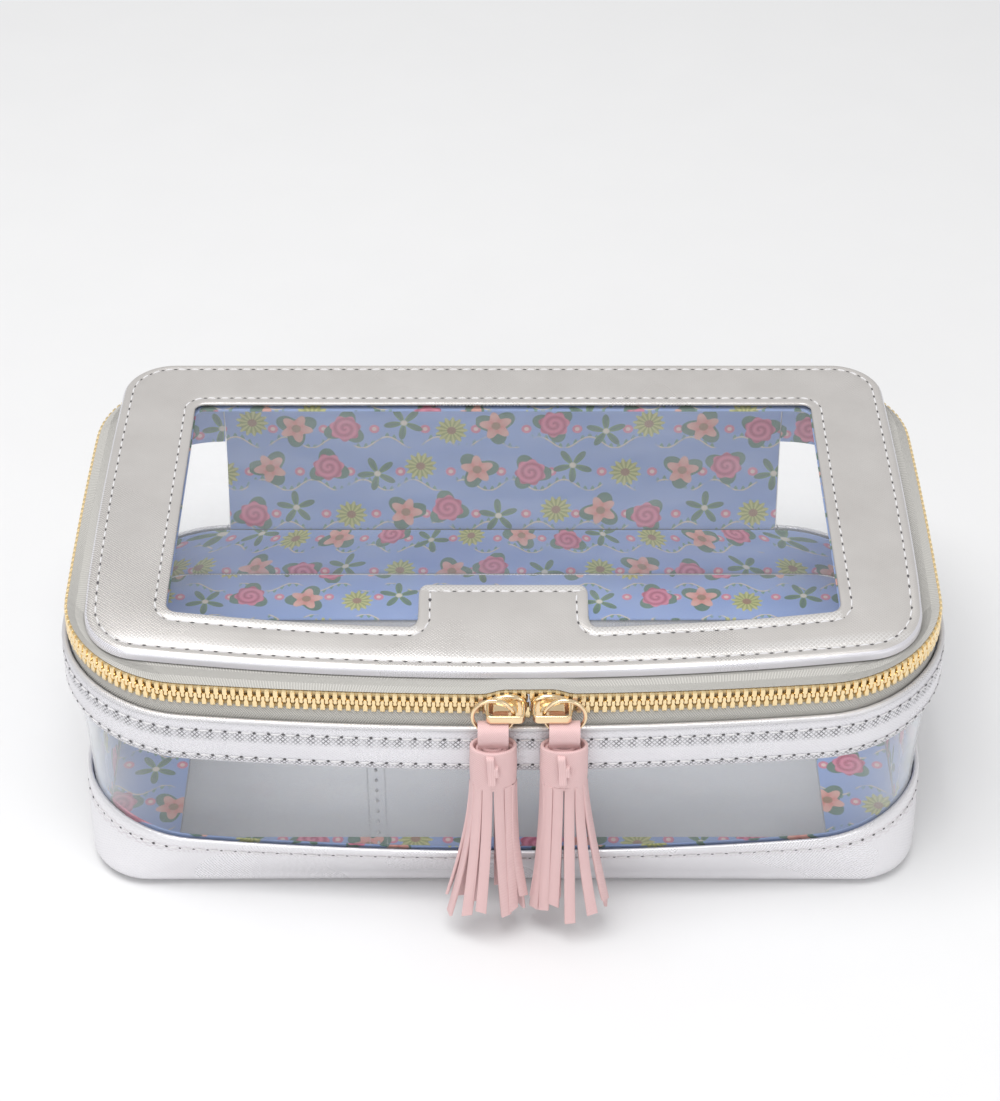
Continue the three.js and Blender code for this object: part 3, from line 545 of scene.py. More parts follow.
def row_places(line, outward, pitch, closed, ahead=0.0):
    """Even places along a row, each with the directions along, aside and away from the sheet."""
    path, normals = (np.vstack((some, some[:1])) if closed else some for some in (line, outward))
    run, end = run_along(path), 0 if closed else ROW_END
    length = run[-1] - 2 * end
    count = int(length / pitch)
    places = end + (np.arange(count) + 0.5) * length / count
    along = unit(on_path(places + 0.5, run, path) - on_path(places - 0.5, run, path))
    middle = on_path(places, run, path) + along * ahead
    up = unit(normals[[np.argmin(((path - m) ** 2).sum(1)) for m in middle]])
    return middle, along, unit(np.cross(along, up)), up


def stitch_row(name, line, outward, finish, body, closed, pitch=STITCH_PITCH, length=3.0, radius=0.3):
    """A row of lock stitches: each is a short thread that dives into the sheet at both ends."""
    row = row_places(line, outward, pitch, closed)
    share = np.linspace(-1, 1, 7)
    turn = np.arange(6) * math.pi / 3
    thread = np.sqrt(np.clip(1 - share ** 4, 0.12, 1)) * radius
    height = (1 - share ** 4) * radius * 0.75 - radius * 0.45
    local = np.array([
        (s * length / 2, r * math.cos(a), h + r * math.sin(a))
        for s, r, h in zip(share, thread, height) for a in turn
    ])
    slant = rng.normal(0, STITCH_SLANT, len(row[0]))[:, None, None]
    return sew_row(name, row, local, tube(len(share), len(turn)), finish, body, slant)


def needle_holes(name, line, outward, finish, body, closed, radius):
    """The needle holes between the stitches, as shallow discs on the sheet painted dark as their shade."""
    turn = np.arange(8) * math.pi / 4
    rim = np.column_stack((np.cos(turn) * radius * 1.25, np.sin(turn) * radius, np.full(8, -0.04)))
    local = np.vstack((rim, rim * (0.6, 0.6, 0) + (0, 0, 0.06), [(0, 0, -0.2)]))
    one = [(a, (a + 1) % 8, 8 + (a + 1) % 8, 8 + a) for a in range(8)]
    one += [tuple(range(8, 16))] + [((a + 1) % 8, a, 16) for a in range(8)]
    row = row_places(line, outward, STITCH_PITCH, closed, STITCH_PITCH / 2)
    return sew_row(name, row, local, one, finish, body)


def seam(name, line, outward, body="case", closed=True, length=3.0, hole=0.42):
    """A seam through the leatherette: a row of stitches, and the needle holes between them."""
    stitch_row(name.format("stitches"), line, outward, silver_thread, body, closed, length=length)
    needle_holes(name.format("needle_holes"), line, outward, needle_hole_shade, body, closed, hole)


def outward_of(line):
    """The outward direction at each point of a level line."""
    along = unit(np.roll(line, -1, 0) - np.roll(line, 1, 0))
    return np.column_stack((along[:, 1], -along[:, 0], np.zeros(len(line))))


def thread_finish(name, colour, twist=0.35):
    """Twisted polyester thread: slanting strands, darker between them."""
    finish = Finish(name, Specular_IOR_Level=0.4)
    _, across, along = finish.cut()
    strand = ((across + along) * (FULL_TURN / twist)).ripple()
    shade = finish.blend(strand, np.multiply(colour, 0.82), colour)
    finish.give(Base_Color=shade, Roughness=strand * 0.15 + 0.5)
    return finish.bump(strand, 0.05)


silver_thread = thread_finish("silver_thread", (0.82, 0.81, 0.82))
# The needle holes' finish is painted shadow: the thread's finish in near black.
needle_hole_shade = thread_finish("needle_hole_shadow", (0.09, 0.085, 0.09))


def hem_fold_painted_shade(finish, place, across, along):
    """Painted shade: the folded edge above the stitches, in a pinkish grey."""
    return along.within(23.6, 27.2, 0.2) * (finish.noise(place, 0.2, 3) * 0.5 + 0.6)


# The lower band's grain is painted pinkish grey from its stitches up to its fold, as painted shade along the
# fold.
band_silver = silver_leatherette(
    "silver_leatherette_band", (0.74, 0.73, 0.755), (0.86, 0.85, 0.875), 0.8, 0.03, 0.5,
    hem_fold_painted_shade, (0.62, 0.57, 0.6), 0.6,
)
quarter = np.linspace(-math.pi / 2, 0, 9)
foot = [(FOOT_ROUNDING * (math.cos(a) - 1), FOOT_ROUNDING * (1 + math.sin(a))) for a in quarter]
bulge = [(BULGE * math.sin(math.pi * (z - FOOT_ROUNDING) / BULGE_HIGH), z) for z in np.linspace(8, 20.5, 8)]
hemmed = [(BULGE, LOWER_TOP - 1.4), (0.1, LOWER_TOP - 0.4), (0, LOWER_TOP)]
wrap("lower_band_leatherette", [*foot, *bulge, *hemmed], LEATHER, band_silver, ["lower_band"])
row = wall(LOWER_ROW, ROW_PROUD)
seam("lower_band_{}", row, outward_of(row))

# Lower lining: a strip of the same printed nylon inside the lower band, sewn to the floor lining.
# It hangs from the hem of the band, behind the clear wall.
wall_print = garden_print("garden_print_wall")
lining_heights = (LINING_Z + LINING + SEAM_GAP, 6, 9, 13, 17, 20, LOWER_TOP)
lower_in = [(-LINING_IN, z) for z in lining_heights]
wrap("lower_band_lining", lower_in, LINING, wall_print, ["lower_lining"])

# Clear wall: one strip of clear vinyl round the front and both sides, behind both bands. It meets
# itself left of the middle of the front in a lap that is sewn through.
SHEET_IN = LEATHER + SEAM_GAP
WALL_BOW = 0.5
SEAM_X = -38.0
LAP_EDGES = (("left", SEAM_X - 2.8), ("right", SEAM_X + 2.4))
LAP_WIDE, LAP_THICK, LAP_OUT = 0.4, 0.15, 0.2


def across_front(loop, *places):
    """The points of a wall's line at these places across the front."""
    front = loop[loop[:, 1] < -60]
    return on_path(places, front[:, 0], front)


def clear_section(z):
    """How far out the clear sheet stands at a height; it bows in a little between the bands."""
    return -SHEET_IN - WALL_BOW * max(0.0, math.sin(math.pi * (z - LOWER_TOP) / (BAND_BOTTOM - LOWER_TOP)))


wall_vinyl = clear_vinyl("clear_vinyl_wall", 1.4, 0.03, 0.85)
lap_vinyl = clear_vinyl("clear_vinyl_lap", 0.2, 0.05)
seam_thread = thread_finish("clear_seam_thread", (0.42, 0.42, 0.44))
clear_profile = [(clear_section(z), z) for z in np.linspace(LOWER_TOP - HEM, BAND_BOTTOM + HEM, 12)]
wrap("clear_wall_vinyl", clear_profile, CLEAR, wall_vinyl, ["clear_wall"], front_part)
for side, x in LAP_EDGES:
    wrap(
        f"clear_wall_lap_{side}", [(out + LAP_OUT, z) for out, z in clear_profile], LAP_THICK, lap_vinyl,
        [], lambda loop: across_front(loop, x, x + LAP_WIDE),
    )
lap_row = np.vstack([across_front(wall(z, out + ROW_PROUD), SEAM_X) for out, z in clear_profile])
forward = np.tile((0.0, -1.0, 0.0), (len(lap_row), 1))
stitch_row(
    "clear_wall_seam_stitches", lap_row, forward, seam_thread, "case", False, 4.2, 1.1, 0.5
)

# Back panel: one piece of silver leatherette across the back, up to the line where the lid turns,
# with the printed lining of the back wall laid inside it.
ZIP_HEIGHT = 84.0
BACK_ROW_IN, BACK_ROW_UP = 3.0, 4.5
back_silver = silver_leatherette("silver_leatherette_back", (0.55, 0.535, 0.53), (0.68, 0.665, 0.66))


def pulled_in(loop, distance):
    """An open line with its two ends drawn back by a distance."""
    ends = loop.copy()
    for end, following in ((0, 1), (-1, -2)):
        ends[end] += unit(loop[following] - loop[end]) * distance
    return ends


def between_bands(loop):
    return pulled_in(back_part(loop), SEAM_GAP)


def back_row(z):
    return pulled_in(back_part(wall(z)), BACK_ROW_IN)


back_heights = np.linspace(LOWER_TOP + SEAM_GAP, ZIP_HEIGHT - SEAM_GAP, 14)
back_face = [(0, z) for z in back_heights]
wrap("back_panel_leatherette", back_face, LEATHER, back_silver, ["back_panel"], between_bands)
side_heights = np.linspace(LOWER_TOP + 5, ZIP_HEIGHT - 2, 12)
back_rows = {"low": back_row(LOWER_TOP + BACK_ROW_UP)}
for side, end in (("left", -1), ("right", 0)):
    back_rows[side] = np.array([back_row(z)[end] for z in side_heights])
for name, row in back_rows.items():
    seam(f"back_panel_{{}}_{name}", row, np.tile((0.0, 1.0, 0.0), (len(row), 1)), closed=False)
back_in = [(-LEATHER - SEAM_GAP, z) for z in back_heights]
wrap("back_wall_lining", back_in, LINING, wall_print, ["back_lining"], between_bands)

# Upper band: a narrow strip of silver leatherette sewn over the top of the clear wall by a row of
# stitches near each edge, with a printed lining behind it and a thin rolled edge above it.
BAND_HIGH = BAND_TOP - BAND_BOTTOM
BAND_CROWN = 0.8
BAND_ROWS, BAND_ROW_PROUD = (("low", BAND_BOTTOM + 2.5), ("high", BAND_TOP - 2.4)), 0.62
ROLL = 0.95


def band_row_painted_shade(finish, place, across, along):
    """Painted shade: the creases that the two rows of stitches have drawn in below themselves, in small
    clusters.
    """
    clusters = (across * (FULL_TURN / STITCH_PITCH)).sine() * 0.3 + finish.noise(place, 0.25, 2)
    rows = along.within(9.0, 12.4, 0.8) + along.within(0.2, 2.6, 0.6)
    return rows * (clusters.over(0.45, 0.3) * 0.6 + 0.4)


# The pearl band's grain is painted near black beside its rows of stitches, as painted shade in their creases.
pearl_silver = silver_leatherette(
    "silver_leatherette_pearl", (0.72, 0.71, 0.745), (0.86, 0.85, 0.88), 0.85, 0.08, 0.42,
    band_row_painted_shade, (0.12, 0.12, 0.13), 0.85,
)
crown_heights = np.linspace(BAND_BOTTOM + 0.6, BAND_TOP - 0.6, 9)
crown = [(BAND_CROWN * math.sin(math.pi * (z - BAND_BOTTOM) / BAND_HIGH) ** 0.7, z) for z in crown_heights]
upper_face = [(0, BAND_BOTTOM), *crown, (0, BAND_TOP)]
wrap("upper_band_leatherette", upper_face, LEATHER, pearl_silver, ["upper_band"], front_part)
for name, level in BAND_ROWS:
    row = wall(level, BAND_ROW_PROUD)
    seam(f"upper_band_{{}}_{name}", front_part(row), front_part(outward_of(row)), closed=False)
upper_in = [(-LINING_IN - 0.2 * share, BAND_BOTTOM + BAND_HIGH * share) for share in np.linspace(0, 1, 5)]
wrap("upper_band_lining", upper_in, LINING, wall_print, ["upper_lining"], front_part)
roll_silver = silver_leatherette("silver_leatherette_rolled", (0.6, 0.59, 0.6), (0.78, 0.77, 0.79), 0.7, 0.05)
roll = [
    front_part(at_height(
        moved(band_line, ROLL * math.cos(a) - SEAM_GAP), BAND_TOP + SEAM_GAP + ROLL + ROLL * math.sin(a) * 0.9
    ))
    for a in np.linspace(0, FULL_TURN, 12, endpoint=False)
]
sew("upper_band_rolled_piping", loft(roll, False), roll_silver, "case", ["upper_band_rolled_edge"])

# Zip: a two-way metal zip of 2.5 mm pitch, sewn round the front and sides. Each woven tape has a
# corded edge on which brass teeth are clamped, and a brass stop closes each end of the chain.
PITCH = 2.5
TOOTH_FOOT = 2.7
FIRST_TOOTH = 0.525
CHAIN_END = 26.0
TEETH_PER_STEP = 4
PULLS_MEET = 7.4
SLIDER_AWAY = 6.8
PARTED, RAMP = 1.7, 7.0
TAPE = 0.8
CORD_AT, CORD_RADIUS, CORD_END, CORD_STEPS = 2.45, 0.75, 4.0, 420
ZIP_HALF_WIDTH, ZIP_HALF_DEPTH, ZIP_CORNER, ZIP_BOW = 131.0, 77.5, 35.0, 9.0
LID_CORNER, LID_BOW, SIDE_BOW = 15.5, 11.0, 1.5
LID_TOP, LID_RIM, LID_ROUNDING = 96.8, 89.4, 2.6
LID_WINDOW_Z = LID_TOP - LEATHER - SEAM_GAP - CLEAR
LID_LINING_Z = LID_WINDOW_Z - SEAM_GAP - LINING
LID_SINKS, SINK_WIDTH, SINK_FROM, SINK_OVER = 4.4, 26.0, 40.0, 30.0
LOWER_TAPE_SHARES, LOWER_TAPE_BELLY = (0.2, 0.4, 0.6, 0.8), 0.3
UPPER_TAPE_SHARES, UPPER_TAPE_ARCH = (0.15, 0.3, 0.5, 0.7, 0.85), 0.25
RIB_COLUMN, RIB_PITCH = 2.2, 0.72
# Each tooth is turned from these levels: height over the closing line, half width, half depth.
TOOTH = (
    (-0.95, 0.34, 0.9), (-0.8, 0.52, 1.25), (-0.3, 0.6, 1.4), (0.1, 0.6, 1.4), (0.45, 0.46, 1.3),
    (0.9, 0.6, 1.4), (1.2, 0.78, 1.4), (2.9, 0.8, 1.4), (3.25, 0.72, 1.25), (3.35, 0.5, 1.0),
)
# A stop is pressed to these sizes at distances along the chain.
STOP = (
    (-1.6, 0.75), (-1.3, 1.0), (-0.6, 1.0), (-0.5, 0.86), (-0.3, 0.86), (-0.2, 1.0),
    (0.2, 1.0), (0.3, 0.86), (0.5, 0.86), (0.6, 1.0), (1.3, 1.0), (1.6, 0.75),
)
STOP_HALF, STOP_DEEP, STOP_HIGH = 1.6, 1.4, 2.85
zip_line = outline(ZIP_HALF_WIDTH, ZIP_HALF_DEPTH, ZIP_CORNER, ZIP_BOW, SIDE_BOW)
lid_line = outline(LID_HALF_WIDTH, LID_HALF_DEPTH, LID_CORNER, LID_BOW, SIDE_BOW)


def sinking(plan):
    """How far the soft lid sinks towards the edge of its front."""
    front = np.clip((-plan[:, 1] - SINK_FROM) / SINK_OVER, 0, 1)
    near = np.clip(1 - edge_distance(plan[:, :2], lid_line) / SINK_WIDTH, 0, 1)
    return LID_SINKS * (front * front * (3 - 2 * front)) * near ** 1.3


def sunk(points, height=None):
    """Points of the lid let down with it. With a height, what stands on the rim is pressed together."""
    made = np.array(points, float)
    share = 1 if height is None else np.clip((made[:, 2] - LID_RIM) / (height - LID_RIM), 0, 1)
    made[:, 2] -= sinking(made) * share
    return made


def parting(points):
    """How far each row of teeth stands off the closing line, to pass round the pulls."""
    away = np.abs(points[:, 0] - PULLS_MEET) - SLIDER_AWAY
    eased = PARTED * (1 + np.cos(np.pi * np.clip(away / RAMP, 0, 1))) / 2
    return np.where((points[:, 1] > 0) | (away >= RAMP), 0.0, eased)


def zip_edge(side, out, away):
    """The edge of a tape beside the chain, on the lower side (-1) or the upper side (1)."""
    line = at_height(moved(zip_line, out), ZIP_HEIGHT)
    line[:, 2] += side * (away + parting(line))
    return line


def herringbone(name, base, dark):
    """Woven polyester zip tape: slanting ribs that turn about at each column of the herringbone."""
    finish = Finish(name, Specular_IOR_Level=0.3, Sheen_Weight=0.15)
    place, across, along = finish.cut()
    column = (along / RIB_COLUMN).floor().whole(2.0) * 2.0 - 1.0
    ribs = ((across * 0.9 + along * column) * (FULL_TURN / RIB_PITCH)).ripple()
    fuzz = finish.noise(place, 2.2, 3, 0.7)
    shade = finish.blend(ribs * 0.7 + fuzz * 0.3, dark, base)
    finish.give(Base_Color=shade, Roughness=fuzz * 0.2 + 0.68)
    return finish.bump(ribs + fuzz * 0.5, 0.16)


def between(first, second, shares, belly=0.0):
    """Lines between two lines, bellied outwards, so that a tape curves from edge to seam."""
    lines = [first + (second - first) * share for share in shares]
    return [line + outward_of(line) * belly * math.sin(math.pi * share) for line, share in zip(lines, shares)]


def lid_tuck(inward, z):
    """A line inside the rim of the lid, let down with it."""
    return sunk(at_height(moved(lid_line, -inward), z), LID_LINING_Z)


tape_weave = herringbone("zip_tape_weave", (0.6, 0.585, 0.55), (0.4, 0.39, 0.365))
cord_weave = thread_finish("zip_cord_weave", (0.5, 0.38, 0.2), 0.8)
tape_edge = TOOTH_FOOT + 0.45
tuck_top, tuck_low = BAND_TOP - SEAM_GAP, BAND_BOTTOM + HEM + SEAM_GAP
inner_tuck = SHEET_IN + TAPE - SEAM_GAP / 2
lower_start, lower_seam = zip_edge(-1, TAPE / 2, tape_edge), wall(tuck_top, -SHEET_IN)
lower_tape = [
    lower_start, *between(lower_start, lower_seam, LOWER_TAPE_SHARES, LOWER_TAPE_BELLY), lower_seam,
    wall(tuck_low, -SHEET_IN), wall(tuck_low, -inner_tuck), wall(tuck_top, -inner_tuck),
    zip_edge(-1, -TAPE / 2, tape_edge),
]
upper_start = zip_edge(1, TAPE / 2, tape_edge + TAPE / 2)
upper_seam = at_height(moved(lid_line, -SHEET_IN), LID_RIM - SEAM_GAP)
upper_arch = between(upper_start, upper_seam, UPPER_TAPE_SHARES)
for share, line in zip(UPPER_TAPE_SHARES, upper_arch):
    line[:, 2] += UPPER_TAPE_ARCH * math.sin(math.pi * share)
tuck_high = LID_LINING_Z - SEAM_GAP
upper_tape = [
    upper_start, *upper_arch, upper_seam, lid_tuck(SHEET_IN, tuck_high), lid_tuck(inner_tuck, tuck_high),
    at_height(moved(lid_line, -inner_tuck), LID_RIM - SEAM_GAP - TAPE), zip_edge(1, -TAPE / 2, tape_edge),
]
for body, tape in (("case", lower_tape), ("lid", upper_tape)):
    shape = loft([front_part(loop) for loop in tape], False)
    sew(f"{body}_tape", shape, tape_weave, body, [f"{body}_zip_tape"])

chain = front_part(at_height(zip_line, ZIP_HEIGHT))
chain_run = run_along(chain)
teeth_count = int((chain_run[-1] - 2 * CHAIN_END) / (PITCH * TEETH_PER_STEP)) * TEETH_PER_STEP


def chain_at(distance):
    """Places and outward directions at distances along the closing line of the zip."""
    before, at, after = (on_path(distance + step, chain_run, chain) for step in (-0.8, 0, 0.8))
    along = unit(after - before)
    return at, np.column_stack((along[:, 1], -along[:, 0], np.zeros(len(along))))


def polished_brass(name, colour, deep, roughness=0.2):
    """Plated metal, buffed along its length, a little deeper in colour where it is worn."""
    finish = Finish(name, Metallic=1.0)
    place = finish.node("ShaderNodeTexCoord", output=3)
    buffed = finish.noise(place, 900.0, 2, stretch=(1, 1, 0.15))
    worn = finish.noise(place, 260.0, 3, 0.6)
    finish.give(Base_Color=finish.blend(worn, deep, colour), Roughness=buffed * 0.12 + roughness)
    return finish.bump(buffed, 0.012)


def blunt(value, power):
    """A sine or cosine drawn towards its ends, so that a round section turns squarer."""
    return np.sign(value) * np.abs(value) ** power


def teeth(name, side, body, stands_for):
    """One row of teeth clamped on its tape; the two rows stand half a pitch apart."""
    turn = np.arange(8) * math.pi / 4 + math.pi / 8
    high, wide, deep = np.array(TOOTH).T
    s = (wide[:, None] * blunt(np.cos(turn), 0.2)).ravel()
    n = (deep[:, None] * blunt(np.sin(turn), 0.2)).ravel()
    middle = CHAIN_END + FIRST_TOOTH + (PITCH / 2 if side > 0 else 0) + np.arange(teeth_count) * PITCH
    at, out = chain_at((middle[:, None] + s[None]).ravel())
    points = at + out * np.tile(n, teeth_count)[:, None]
    points[:, 2] += side * (np.tile(np.repeat(high, 8), teeth_count) + parting(at))
    one = [f[::-side] for f in tube(len(TOOTH), 8)]
    shape = points, many(one, 8 * len(TOOTH), teeth_count)
    sew(name, shape, teeth_brass, body, [stands_for], 35)


def cord(name, side, body):
    """The corded edge of a tape, between the legs of the teeth."""
    at, out = chain_at(np.linspace(CORD_END, chain_run[-1] - CORD_END, CORD_STEPS))
    at[:, 2] += side * (CORD_AT + parting(at))
    loops = [
        at + out * CORD_RADIUS * math.cos(a) + np.array((0, 0, side * CORD_RADIUS * math.sin(a)))
        for a in np.arange(8) * math.pi / 4
    ]
    sew(name, loft(loops, False), cord_weave, body)


def end_stop(name, distance, stands_for):
    """A stop is a folded strip of brass pressed over both tapes, with two grooves pressed in it."""
    turn = np.arange(16) * math.pi / 8
    rings = []
    for s, size in STOP:
        at, out = chain_at(np.array([distance + s]))
        ring = at + out * (STOP_DEEP * size * blunt(np.cos(turn), 0.4))[:, None]
        ring[:, 2] += STOP_HIGH * (0.85 + 0.15 * size) * blunt(np.sin(turn), 0.4)
        rings.append(ring)
    shape = np.vstack(rings), tube(len(STOP), 16)
    sew(name, shape, teeth_brass, "case", [stands_for], 35)


teeth_brass = polished_brass("zip_teeth_brass", (1.0, 0.83, 0.52), (0.92, 0.7, 0.38))
teeth("case_teeth", -1, "case", "case_zip_teeth")
teeth("lid_teeth", 1, "lid", "lid_zip_teeth")
cord("case_tape_cord", -1, "case")
cord("lid_tape_cord", 1, "lid")
chain_length = teeth_count * PITCH + PITCH / 2
end_stop("zip_end_stop_left", CHAIN_END - SEAM_GAP - STOP_HALF, "zip_stop_left")
end_stop("zip_end_stop_right", CHAIN_END + chain_length + SEAM_GAP + STOP_HALF, "zip_stop_right")

# Lid frame: one piece of silver leatherette turned down and stitched all round, with a rectangular
# opening and a plain tab that stands into it at the middle of the front.
WINDOW_HALF, WINDOW_BACK, WINDOW_FRONT, WINDOW_CORNER, WINDOW_BOW = 100.6, 47.6, -58.3, 3.0, 7.5
TAB_HALF, TAB_DEPTH, TAB_CORNER = 25.3, 11.5, 2.6
OUTER_ROW, INNER_ROW = -3.4, 3.4
OUTER_RINGS = (0.6, 0.0, -0.6, -1.2, -2.2, -3.4, -4.8)
INNER_RINGS = (-2.9, -1.8, -0.6, 0.0, 0.6, 1.6, 2.8, 4.2)
RIM_LEVELS = (93.0, 91.6, 90.4, LID_RIM + 0.3)
RIM_TURNED_IN, RIM_FLAT = 0.35, 9.4
TOP_ROUNDS = 3
EDGE_FALL, ROW_DRAWN, LID_SWELL = 0.55, 0.3, 0.22


def arc(cx, cy, radius, start, end, steps=6):
    turn = np.radians(np.linspace(start, end, steps + 1))
    return np.column_stack((cx + radius * np.cos(turn), cy + radius * np.sin(turn)))


def straights(points, spacing=2.5):
    """Adds points along every long side of a closed loop."""
    filled = []
    for a, b in zip(points, np.roll(points, -1, 0)):
        steps = max(1, int(np.linalg.norm(b - a) / spacing))
        filled.append(a + (b - a) * (np.arange(steps) / steps)[:, None])
    return np.vstack(filled)


def lid_opening():
    """The opening of the lid with its tab, round from the back left corner by the front."""
    w, back, low, c, t = WINDOW_HALF, WINDOW_BACK, WINDOW_FRONT, WINDOW_CORNER, TAB_CORNER
    tip = low + TAB_DEPTH
    loop = straights(np.vstack((
        arc(-w + c, back - c, c, 90, 180), arc(-w + c, low + c, c, 180, 270),
        arc(-TAB_HALF - t, low + t, t, 270, 360), arc(-TAB_HALF + t, tip - t, t, 180, 90),
        arc(TAB_HALF - t, tip - t, t, 90, 0), arc(TAB_HALF + t, low + t, t, 180, 270),
        arc(w - c, low + c, c, 270, 360), arc(w - c, back - c, c, 0, 90),
    )))
    bow = WINDOW_BOW * (1 - (loop[:, 0] / w) ** 2) * np.clip((tip - loop[:, 1]) / TAB_DEPTH, 0, 1)
    return loop - np.column_stack((np.zeros(len(loop)), bow))


def lid_height(plan):
    """The lid's surface is drawn in along each row of stitches, and falls off at the cut edge."""
    from_rim, from_window = edge_distance(plan, lid_line), edge_distance(plan, opening)
    drawn = EDGE_FALL * np.exp(-((from_window / 0.45) ** 2))
    for away, broad in ((from_rim + OUTER_ROW, 0.2), (from_window - INNER_ROW, 0.16)):
        drawn += ROW_DRAWN * np.exp(-(away / 0.7) ** 2) + broad * np.exp(-(away / 2.6) ** 2)
    swell = LID_SWELL * np.sin(plan[:, 0] * 0.045 + 1) * np.sin(plan[:, 1] * 0.06)
    return LID_TOP - drawn - np.abs(swell) * np.clip((from_rim - 2.6) / 6, 0, 1) - sinking(plan)


def lid_seam_painted_glints(finish, place, across, along):
    """Painted glints: the strips behind the stitches of the front rim and along the front hem of the opening.
    """
    reach, over_window = across / LID_HALF_WIDTH, across / WINDOW_HALF
    from_front = along + (LID_HALF_DEPTH + LID_BOW) - reach * reach * LID_BOW
    beside_tab = (TAB_HALF - across.size()).over(0.0, 0.3)
    bow = (1 - over_window * over_window) * (1 - beside_tab) * WINDOW_BOW
    from_hem = along - WINDOW_FRONT + bow - beside_tab * TAB_DEPTH
    patchy = finish.noise(place, 0.06, 2).over(0.42, 0.25)
    hem = from_hem.within(-3.2, 0.0) * (WINDOW_HALF - across.size()).over(0.0, 0.5)
    return from_front.within(3.6, 7.0, 0.9) * (patchy * 0.5 + 0.5) + hem


# The lid's grain is painted near white beside its front seams, as painted glints where the drawn-up leather
# catches the light.
lid_silver = silver_leatherette(
    "silver_leatherette_lid", (0.52, 0.495, 0.475), (0.68, 0.655, 0.635), 0.8, 0.03, 0.6,
    lid_seam_painted_glints, (0.95, 0.95, 0.95), 0.4,
)
rim_silver = silver_leatherette("silver_leatherette_rim", (0.64, 0.63, 0.67), (0.8, 0.79, 0.83), 0.8, 0.03)
opening = lid_opening()
flat_outer = moved(lid_line, -LID_ROUNDING)
rows_kept = [moved(lid_line, OUTER_ROW + step) for step in OUTER_RINGS]
rows_kept += [moved(opening, INNER_ROW + step) for step in INNER_RINGS]
plan, top_faces = cut_sheet(flat_outer, opening, rows_kept, 6.0)
# The rim below the flat top: how far out, how high, and how far round from the flat each ring is.
rim = [
    (LID_ROUNDING * math.sin(a) - LID_ROUNDING, LID_TOP - LID_ROUNDING * (1 - math.cos(a)), LID_ROUNDING * a)
    for a in np.linspace(0, math.pi / 2, 7)[1:]
]
rim += [(0.0, z, LID_ROUNDING * math.pi / 2 + LID_TOP - LID_ROUNDING - z) for z in RIM_LEVELS]
rim.append((-RIM_TURNED_IN, LID_RIM, RIM_FLAT))
around = len(lid_line)
rings = [np.array([int(np.argmin(((plan - p) ** 2).sum(1))) for p in flat_outer])]
rings += [len(plan) + around * k + np.arange(around) for k in range(len(rim))]
lid_faces = [tuple(f) for f in top_faces]
for upper, lower in zip(rings, rings[1:]):
    lid_faces += zip(upper, lower, np.roll(lower, -1), np.roll(upper, -1))
lid_points = [np.column_stack((plan, lid_height(plan)))]
lid_points += [sunk(at_height(moved(lid_line, out), z), LID_TOP) for out, z, _ in rim]
lid_flat = np.vstack([plan, *(moved(lid_line, run - LID_ROUNDING) for *_, run in rim)])
lid_shape = np.vstack(lid_points), lid_faces, lid_flat[[i for f in lid_faces for i in f]]
lid_frame = sew("lid_frame_leatherette", lid_shape, lid_silver, "lid", ["lid_frame"], 60)
lid_frame.data.materials.append(rim_silver)
is_rim = np.arange(len(lid_faces)) >= len(top_faces) + TOP_ROUNDS * around
lid_frame.data.polygons.foreach_set("material_index", is_rim.astype(np.int32))
sheet = lid_frame.modifiers.new("leather", "SOLIDIFY")
sheet.thickness, sheet.offset = LEATHER * MM, -1
for name, line in (("rim", moved(lid_line, OUTER_ROW)), ("window", moved(opening, INNER_ROW))):
    row = np.column_stack((line, lid_height(line) + 0.02))
    seam(f"lid_{name}_{{}}", row, np.tile((0.0, 0.0, 1.0), (len(row), 1)), "lid", length=2.7, hole=0.58)

# Lid window: a sheet of clear vinyl sewn in under the frame. It lies a little slack, so its gloss
# runs in soft streaks, and its finish paints streaks of sheen on it as well.
WINDOW_HEM = 7.0
SLACK, SLACK_WAVE, SLACK_HALF_WIDTH, SLACK_HALF_DEPTH = 0.9, 0.25, 107, 60
window_middle, window_half = (WINDOW_BACK + WINDOW_FRONT) / 2, (WINDOW_BACK - WINDOW_FRONT) / 2
lid_vinyl = clear_vinyl("clear_vinyl_lid", 1.6)


def slackened(points):
    """The sheet sags between its hems, with low waves in it, and sinks with the lid."""
    x, y, z = points.T
    sideways, deep = x / SLACK_HALF_WIDTH, (y - window_middle) / SLACK_HALF_DEPTH
    slack = np.clip(1 - sideways ** 2, 0, 1) * np.clip(1 - deep ** 2, 0, 1)
    wave = SLACK_WAVE * np.sin(x * 0.07 + 0.6 * np.sin(y * 0.05)) * slack
    return sunk(np.column_stack((x, y, z - SLACK * slack - wave)))


window_line = outline(
    WINDOW_HALF + WINDOW_HEM, window_half + WINDOW_HEM, WINDOW_CORNER + WINDOW_HEM, WINDOW_BOW
) + (0, window_middle)
lay(
    "lid_clear_window", window_line, None, LID_WINDOW_Z + CLEAR, CLEAR, lid_vinyl,
    ["lid_window"], 5, "lid", slackened,
)

# Lid lining and binding: printed nylon under the frame, and a strip of it that binds the raw edges
# round the inside of the rim.
lid_print = garden_print("garden_print_lid")
binding_in = SHEET_IN + TAPE + SEAM_GAP
lay(
    "lid_printed_lining", moved(lid_line, -LINING - binding_in), opening, LID_LINING_Z + LINING, LINING,
    lid_print, ["lid_lining"], body="lid", form=sunk,
)
binding_heights = np.linspace(LID_RIM + SEAM_GAP, LID_LINING_Z - SEAM_GAP, 4)
binding = [(-binding_in - 0.15 * math.sin(i), z) for i, z in enumerate(binding_heights)]
wrap(
    "lid_edge_binding_strip", binding, LINING, lid_print, ["lid_edge_binding"],
    line=lambda z, out: lid_tuck(-out, z), body="lid",
)

